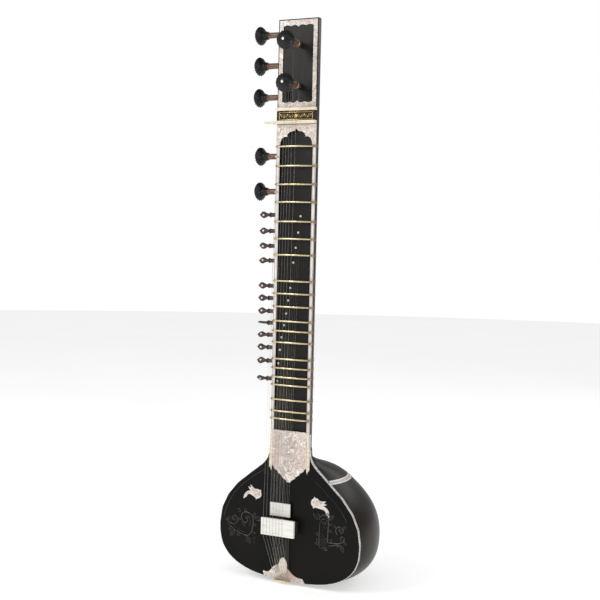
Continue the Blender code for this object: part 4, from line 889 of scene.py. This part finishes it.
# Edge binding. A band of pale celluloid glued round the side of the body, over the joint between the
# soundboard and the gourd and up beside the neck's root, set with grey chips along both its edges.
CENTRE_UP = 117
BINDING_TOP, BINDING_TURN = 338, 264       # where it ends on the neck's sides, and where the curve starts
BINDING_DEPTHS = (0.05, 1.4, 2.8, 4.2, 5.6, 6.6)
BINDING_PROUD, BINDING_SUNK = 0.32, 0.5
edge_skin = skin_of("soundboard", "gourd", "heel", "neck")
columns = []


def edge_column(start, way):
    """Points down the side of the body, one for each depth, where lines toward the middle meet it."""
    column = []
    for depth in BINDING_DEPTHS:
        origin = Vector((start.x, front + max(depth, 0.6) * MM, start.z))
        hit, _, _, _ = edge_skin.ray_cast(origin, way)
        if not hit:
            return None
        column.append(Vector((hit.x, front + depth * MM, hit.z)))
    return column


rise = [BINDING_TOP - 2 * k for k in range((BINDING_TOP - BINDING_TURN) // 2 + 1)]
for up in rise:
    columns.append(edge_column(at(200, 0, up), Vector((-1, 0, 0))))
RAYS = 400
for step in range(RAYS):
    angle = math.radians(15) + (2 * math.pi - math.radians(30)) * step / (RAYS - 1)
    way = Vector((math.sin(angle), 0, math.cos(angle)))
    column = edge_column(at(0, 0, CENTRE_UP) + way * 0.4, -way)
    if column and column[0].z < at(0, 0, BINDING_TURN - 1).z:
        columns.append(column)
for up in reversed(rise):
    columns.append(edge_column(at(-200, 0, up), Vector((1, 0, 0))))
columns = [column for column in columns if column]
for _ in range(3):
    columns = [columns[0]] + [[(a + 2 * b + c) / 4 for a, b, c in zip(*three)]
                              for three in zip(columns, columns[1:], columns[2:])] + [columns[-1]]
binding_pale, tree, shader = start_material("binding_celluloid", {"Specular IOR Level": 0.4})
chips = add(tree, "TexVoronoi", {"Vector": add(tree, "TexCoord").outputs["Object"], "Scale": 520})
tree.links.new(ramp(tree, add(tree, "SeparateColor", {"Color": chips.outputs["Color"]}).outputs[0],
                    ((0.1, (0.36, 0.34, 0.32)), (0.45, (0.62, 0.59, 0.56)), (0.9, (0.80, 0.78, 0.75)))),
               shader.inputs["Base Color"])
tree.links.new(spread(tree, chips.outputs["Distance"], 0.3, 0.5), shader.inputs["Roughness"])
bumped(tree, shader, chips.outputs["Distance"], 0.00005, 0.4)
bm = bmesh.new()
stones = bmesh.new()
rings = []
run, next_stone, upper = 0.0, 0.0, False
for i, column in enumerate(columns):
    before, after = columns[max(0, i - 1)][0], columns[min(len(columns) - 1, i + 1)][0]
    along = (after - before).normalized()
    outward = Vector((-along.z, 0, along.x))
    if outward.dot(column[0] - at(0, 0, CENTRE_UP)) < 0:
        outward = -outward
    outer = [point + outward * BINDING_PROUD * MM for point in column]
    inner = [point - outward * BINDING_SUNK * MM for point in reversed(column)]
    rings.append([bm.verts.new(point) for point in outer + inner])
    if i:
        run += (column[0] - columns[i - 1][0]).length
    if run >= next_stone:
        next_stone += 2.1 * MM
        upper = not upper
        row = 1 if upper else len(column) - 2
        stud(stones, column[row] + outward * BINDING_PROUD * MM, outward, 1.05 * MM, 0.07 * MM, 6, 0.2 * MM)
for a, b in zip(rings, rings[1:]):
    for k in range(len(a)):
        m = (k + 1) % len(a)
        bm.faces.new((a[k], a[m], b[m], b[k]))
bm.faces.new(rings[0])
bm.faces.new(rings[-1])
piece("edge_binding", bm, binding_pale, smooth=40)
piece("binding_stones", stones, grey_dot, smooth=60)


# Shoulder band. A thin pearl band glued over the joint between heel and gourd, white with a grey line
# between two black ones.
BAND_ROWS = (234.4, 236.9, 237.4, 238.9, 239.4, 241.9)
BAND_FINISH = (0, 1, 2, 1, 0)
shoulder_skin = skin_of("heel", "gourd")
columns = []
for step in range(241):
    angle = math.radians(-62 + 304 * step / 240)
    way = Vector((math.cos(angle), math.sin(angle), 0))
    column = []
    for up in BAND_ROWS:
        hub = at(0, 42, up)
        hit, _, _, _ = shoulder_skin.ray_cast(hub + way * 0.4, -way)
        if not hit or hit.y < front + 4.4 * MM:
            column = None
            break
        column.append((hit, way))
    if column:
        columns.append(column)
bm = bmesh.new()
rings = []
for column in columns:
    outer = [bm.verts.new(hit + way * 0.42 * MM) for hit, way in column]
    inner = [bm.verts.new(hit - way * 0.5 * MM) for hit, way in reversed(column)]
    rings.append(outer + inner)
for a, b in zip(rings, rings[1:]):
    for k in range(len(a)):
        m = (k + 1) % len(a)
        face = bm.faces.new((a[k], a[m], b[m], b[k]))
        face.material_index = BAND_FINISH[k] if k < len(BAND_FINISH) else 0
bm.faces.new(rings[0])
bm.faces.new(rings[-1])
piece("shoulder_band", bm, (celluloid, grey_dot, binding_pale), smooth=40)


# Tulip inlays. Flowers sawn from pearl celluloid with a white outline and engraved marks, let into
# the soundboard on both sides of the root plate.
def loop_through(points, steps=3):
    """A closed smooth outline through points of (x, height)."""
    vectors = [Vector((x, 0, z)) for x, z in points]
    made = []
    count = len(vectors)
    for i in range(count):
        p0, p1, p2, p3 = (vectors[(i + k - 1) % count] for k in range(4))
        for step in range(steps):
            t = step / steps
            spot = 0.5 * ((2 * p1) + (p2 - p0) * t + (2 * p0 - 5 * p1 + 4 * p2 - p3) * t * t +
                          (3 * p1 - p0 - 3 * p2 + p3) * t ** 3)
            made.append((spot.x, spot.z))
    return made


petal_white = bone("petal_white", (0.56, 0.50, 0.49), (0.80, 0.76, 0.75), 240)
BULB_RADIUS, BULB_POINT, PETAL_REACH, PETAL_NOTCH = 10.6, 13.4, 26.5, 19.6


def tulip_shapes(middle, lean, hand, stem):
    """A flower's outline, its two fields and its marks: a round bulb with two small points, two long petals
    along its lean, and a stem through (out, up, half width) from the bulb. hand -1 faces it to the left."""
    def spot(turn, reach):
        angle = math.radians(lean + turn)
        return middle[0] + hand * reach * math.cos(angle), middle[1] + reach * math.sin(angle)

    def edge(side, share):
        """One side of the stem, at a share of its half width."""
        points = []
        for (x0, z0, _), (x, z, half), (x1, z1, _) in zip(stem, stem[1:], stem[2:]):
            ahead = Vector((x1 - x0, z1 - z0)).normalized()
            points.append((middle[0] + hand * (x - side * share * half * ahead.y),
                           middle[1] + z + side * share * half * ahead.x))
        return points

    end = (middle[0] + hand * stem[-1][0], middle[1] + stem[-1][1])
    outline = [spot(-8, PETAL_REACH), spot(-3, PETAL_NOTCH), spot(7, PETAL_REACH - 1), spot(14, 14.5)]
    outline += [spot(turn, BULB_RADIUS) for turn in (32, 60, 86)] + [spot(98, BULB_POINT)]
    outline += [spot(turn, BULB_RADIUS) for turn in range(110, 231, 24)] + [spot(241, BULB_POINT)]
    outline += [spot(turn, BULB_RADIUS) for turn in (253, 280)]
    outline += edge(-1, 1) + [end] + edge(1, 1)[::-1] + [spot(-20, 19)]
    bulb_field = [spot(turn, 7.4 + 9 * max(0, math.cos(math.radians(turn))) ** 8)
                  for turn in range(0, 360, 15)]
    stem_field = loop_through(edge(-1, 0.5)[1:] + edge(1, 0.5)[:0:-1])
    marks = [spot(turn, 4.6) for turn in (50, 170, 290)] + [spot(0, 13), spot(0, 17)]
    return loop_through(outline), (bulb_field, stem_field), marks


for word, middle, lean, hand, stem in (
        ("left", (-77, 196), 39, -1, ((8, 0, 5), (14, 0.5, 4.6), (21, 1, 3.4), (26.5, -2.5, 3.2),
                                      (30, -8, 3.2), (34.5, -14, 0))),
        ("right", (66, 193), 6, 1, ((8, -6, 5), (15, -8, 4.2), (23, -10.5, 3.6), (28, -16, 3.7),
                                    (29, -24, 3.7),
                                    (33, -32, 0)))):
    outline, fields, marks = tulip_shapes(middle, lean, hand, stem)
    inlay(f"tulip_{word}", outline, 0.28, petal_white, 6.0)
    for number, field in enumerate(fields, 1):
        inlay(f"tulip_{word}_field_{number}", field, 0.34, inlay_pearl, 6.0)
    bm = bmesh.new()
    for x, z in marks:
        hit, _ = face_of(body_skin, x * MM, at(0, 0, z).z)
        stud(bm, hit + Vector((0, -0.36 * MM, 0)), Vector((0, -1, 0)), 0.75 * MM, 0.05 * MM, 10, 0.3 * MM)
    piece(f"tulip_{word}_marks", bm, ink)


# Carving. Scrolling vines and a border line cut in low relief in the soundboard and lacquered over.
carved_lacquer = lacquered("carved_lacquer", (0.006, 0.0057, 0.005), (0.013, 0.011, 0.009), 0.2, 0.3, 30,
                           0.25, 0.5)


def relief(bm, points, radius, steps=5, taper=True):
    """A half-round carved line through points of (x, height) on the soundboard."""
    path = curved([Vector((x, 0, z)) for x, z in points], steps)
    laid = []
    for point in path:
        hit, _ = face_of(body_skin, point.x * MM, at(0, 0, point.z).z)
        laid.append(Vector((point.x * MM, hit.y - radius * 0.3 * MM, at(0, 0, point.z).z)))
    count = len(laid) - 1
    sizes = [radius * MM * (0.5 + 0.5 * math.sin(math.pi * min(1, (i + 1) / (count + 2))) ** 0.5
                            if taper else 1)
             for i in range(count + 1)]
    tube(bm, laid, sizes, 10)


def carved_leaf(bm, root, tip, width, veins=4):
    """A pointed carved leaf with a raised rim and slanting veins."""
    a, b = Vector((root[0], 0, root[1])), Vector((tip[0], 0, tip[1]))
    along = b - a
    across = Vector((-along.z, 0, along.x)).normalized() * width / 2
    for side in (-1, 1):
        relief(bm, [(a.x, a.z)] + [((a + along * s + across * side * w).x,
                                    (a + along * s + across * side * w).z)
                                   for s, w in ((0.25, 0.8), (0.5, 1.0), (0.78, 0.6))] + [(b.x, b.z)], 0.9, 4)
    for i in range(veins):
        s = 0.2 + 0.6 * i / max(1, veins - 1)
        for side in (-1, 1):
            start = a + along * (s - 0.08)
            end = a + along * (s + 0.06) + across * side * 0.75 * math.sin(math.pi * s)
            relief(bm, [(start.x, start.z), ((start.x + end.x) / 2, (start.z + end.z) / 2), (end.x, end.z)],
                   0.55, 2)


bm = bmesh.new()
relief(bm, [(-152, 133), (-145, 120), (-131, 110), (-115, 104), (-101, 100.5), (-91, 107), (-86, 118),
            (-84.5, 132),
            (-85, 143), (-91, 150), (-102, 152.4), (-111, 150), (-115, 141), (-111, 133), (-105, 129),
            (-99, 133),
            (-100, 139.4), (-105, 140)], 1.9)
relief(bm, [(-149, 138), (-142, 126), (-131, 117), (-118, 110), (-104, 106)], 1.2)
relief(bm, [(-144, 123), (-136, 121.5), (-128, 125), (-124, 132), (-127, 139.4), (-134, 141), (-139, 135.5),
            (-136, 130.5), (-132, 132)], 1.6)
relief(bm, [(-96, 146), (-93, 139), (-92.5, 130), (-95, 122)], 1.0)
carved_leaf(bm, (-84, 143), (-64, 138), 7)
carved_leaf(bm, (-131, 109), (-144, 94), 8)
carved_leaf(bm, (-101, 100), (-92, 84), 8)
carved_leaf(bm, (-112, 132), (-106, 120), 6, 3)
relief(bm, [(-58, 254), (-88, 234), (-123, 205), (-142, 181), (-154, 157), (-160, 137)], 0.85, 10,
       taper=False)
for x, z, radius in ((-82, 97, 1.6), (-82, 87.6, 1.3), (-100, 88, 1.4), (-71, 146, 1.4), (-120, 98, 1.3)):
    hit, _ = face_of(body_skin, x * MM, at(0, 0, z).z)
    stud(bm, hit, Vector((0, -1, 0)), radius * MM, 0.6 * MM, 12)
for root, tip, width in (((-118, 151), (-124, 158), 5), ((-107, 152), (-103, 160), 5),
                         ((-87, 148), (-78, 152), 5),
                         ((-86, 128), (-76, 127), 5), ((-88, 112), (-79, 108), 5),
                         ((-138, 114), (-147, 108), 6),
                         ((-122, 106), (-124, 96), 5), ((-148, 128), (-156, 131), 4),
                         ((-124, 136), (-117, 133), 4)):
    carved_leaf(bm, root, tip, width, 2)
for x, z, turns in ((-100, 140, 1), (-133, 132, -1)):
    relief(bm, [(x + turns * (4.6 - k * 0.42) * math.cos(k * 0.8), z + (4.6 - k * 0.42) * math.sin(k * 0.8))
                for k in range(10)],
           1.0, 3)
piece("vine_left", bm, carved_lacquer, smooth=60)

bm = bmesh.new()
relief(bm, [(76.3, 158), (78.6, 165), (87, 169.4), (95, 166), (98, 158), (98, 146), (97.5, 132), (97.5, 116),
            (98.7, 112),
            (108, 112), (118, 112.4), (127, 114.2), (134, 118.8), (136, 125.6), (131, 129), (126.4, 125.6)],
            1.9)
relief(bm, [(80, 154), (82, 159.5), (87.5, 161.4), (93, 159), (94.8, 153)], 1.4)
relief(bm, [(119.4, 131), (115.6, 138.6), (118, 146), (125.6, 149), (132.5, 144.6), (132, 138), (126, 136)],
       1.7)
relief(bm, [(98.7, 105), (108.7, 106.4), (119.4, 109.2), (128, 110)], 1.3)
relief(bm, [(78, 154), (77.5, 138), (77, 118), (78, 101), (84, 98)], 1.3)
for lift in (0, 6.5, 12.5, 18.5, 24):
    relief(bm, [(79, 131 - lift), (86, 126 - lift), (92, 120 - lift), (96, 115 - lift * 0.8)], 1.2, 4)
carved_leaf(bm, (72, 158), (62, 171), 6, 3)
carved_leaf(bm, (98, 160), (110, 171), 6, 3)
carved_leaf(bm, (128, 110), (134, 95), 7)
carved_leaf(bm, (84, 98), (98, 96), 6, 3)
relief(bm, [(63, 240), (80, 227), (94, 214), (110, 200), (125, 184), (134, 171), (140, 159)], 0.85, 10,
       taper=False)
for x, z, radius in ((91, 151.5, 1.5), (88.6, 143, 1.6), (94.6, 143, 1.3), (71.7, 115.8, 1.8),
                     (124, 142, 1.4), (84, 136, 1.3)):
    hit, _ = face_of(body_skin, x * MM, at(0, 0, z).z)
    stud(bm, hit, Vector((0, -1, 0)), radius * MM, 0.6 * MM, 12)
for root, tip, width in (((78, 166), (72, 170), 4), ((92, 168), (97, 174), 5), ((99, 150), (106, 152), 5),
                         ((99, 138), (106, 136), 5), ((77, 128), (69, 126), 5), ((77, 110), (68, 106), 6),
                         ((104, 112), (106, 121), 5), ((120, 113), (121, 104), 5),
                         ((135, 118), (141, 112), 5),
                         ((116, 146), (111, 151), 4), ((132, 146), (138, 151), 5)):
    carved_leaf(bm, root, tip, width, 2)
for x, z, turns in ((125.5, 141, 1), (88, 151, -1), (129, 121, 1)):
    relief(bm, [(x + turns * (4.4 - k * 0.4) * math.cos(k * 0.8), z + (4.4 - k * 0.4) * math.sin(k * 0.8))
                for k in range(10)],
           1.0, 3)
piece("vine_right", bm, carved_lacquer, smooth=60)


# Nameplate trim. A brass wire frame and a leaf scroll of brass wire let into the black block.
low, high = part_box("nameplate")
plate_y = (low.y - front) / MM
PLATE_LEFT, PLATE_RIGHT, PLATE_LOW, PLATE_HIGH = -41.0, 38.5, 1010.6, 1026.0
WIRE = 0.42
plate_centre = ((PLATE_LEFT + PLATE_RIGHT) / 2, (PLATE_LOW + PLATE_HIGH) / 2)
bm = bmesh.new()
for left, right_end, low_end, high_end in (
        (PLATE_LEFT, PLATE_RIGHT, PLATE_LOW - 0.55, PLATE_LOW + 0.55),
        (PLATE_LEFT, PLATE_RIGHT, PLATE_HIGH - 0.55, PLATE_HIGH + 0.55),
        (PLATE_LEFT - 0.5, PLATE_LEFT + 0.6, PLATE_LOW - 0.55, PLATE_HIGH + 0.55),
        (PLATE_RIGHT - 0.6, PLATE_RIGHT + 0.5, PLATE_LOW - 0.55, PLATE_HIGH + 0.55),
        (plate_centre[0] - 0.35, plate_centre[0] + 0.35, PLATE_LOW, plate_centre[1] - 3.4),
        (plate_centre[0] - 0.35, plate_centre[0] + 0.35, plate_centre[1] + 3.4, PLATE_HIGH)):
    strip(bm, (left, plate_y - 0.22, low_end), (right_end, plate_y + 0.1, high_end), 0.08)
for side in (-1, 1):
    for k in range(4):
        x = plate_centre[0] + side * (8 + 8.2 * k)
        lift = 1.7 if k % 2 else -1.7
        scroll = []
        for step in range(22):
            angle = math.radians(30 + 25 * step)
            reach = 3.9 * (1 - step / 27)
            scroll.append(at(x + side * reach * math.cos(angle) * 0.95, plate_y - 0.02,
                             plate_centre[1] + (reach * math.sin(angle)) * (1 if lift > 0 else -1)))
        tube(bm, scroll, WIRE * 1.15 * MM, 6)
        stud(bm, at(x + side * 4.1, plate_y, plate_centre[1] + lift * 1.5), Vector((0, -1, 0)), 1.15 * MM,
             0.3 * MM, 8)
for k in range(8):
    angle = math.radians(45 * k)
    stud(bm, at(plate_centre[0] + 2.7 * math.cos(angle), plate_y, plate_centre[1] + 2.7 * math.sin(angle)),
         Vector((0, -1, 0)), 1.1 * MM, 0.3 * MM, 8)
stud(bm, at(plate_centre[0], plate_y, plate_centre[1]), Vector((0, -1, 0)), 1.3 * MM, 0.35 * MM, 12)
piece("nameplate_scroll", bm, plate_gold, smooth=60)


# Tail trim. Raised ribs on the bone leaf over the strings' ends, and the twisted brass loops that
# hold the strings at the tailpiece.
leaf_low, leaf_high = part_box("tail_leaf")
leaf_skin = skin_of("tail_leaf")
leaf_x = (leaf_low.x + leaf_high.x) / 2
leaf_span = leaf_high.z - leaf_low.z
bm = bmesh.new()
rib_lines = [[(0.0, 0.06), (0.0, 0.4), (0.0, 0.92)]]
for side in (-1, 1):
    rib_lines += [[(0.0, 0.12 + 0.17 * k), (side * 0.18, 0.22 + 0.17 * k), (side * 0.34, 0.26 + 0.17 * k)]
                  for k in range(4)]
for line in rib_lines:
    path = []
    for x, share in line:
        place_x, place_z = leaf_x + x * (leaf_high.x - leaf_low.x), leaf_low.z + share * leaf_span
        hit, _ = face_of(leaf_skin, place_x, place_z)
        if hit:
            path.append(hit + Vector((0, 0.1 * MM, 0)))
    if len(path) > 1:
        tube(bm, curved(path, 4), 0.35 * MM, 6)
# The ribs share the leaf's paler bone, with its painted light.
piece("leaf_ribs", bm, leaf_bone_painted_light, smooth=60)

tail_low, tail_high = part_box("tailpiece")
bm = bmesh.new()
for k in range(7):
    x = tail_low.x + (tail_high.x - tail_low.x) * (0.12 + 0.76 * k / 6)
    loop = []
    for step in range(14):
        angle = 2 * math.pi * step / 14
        loop.append(Vector((x + 1.0 * MM * math.cos(angle), tail_low.y - 0.1 * MM + 0.35 * MM *
                            math.sin(angle),
                            tail_high.z + (1.0 + 1.4 * math.sin(angle)) * MM)))
    tube(bm, loop, 0.32 * MM, 6, closed=True)
piece("string_loops", bm, brass, smooth=100)
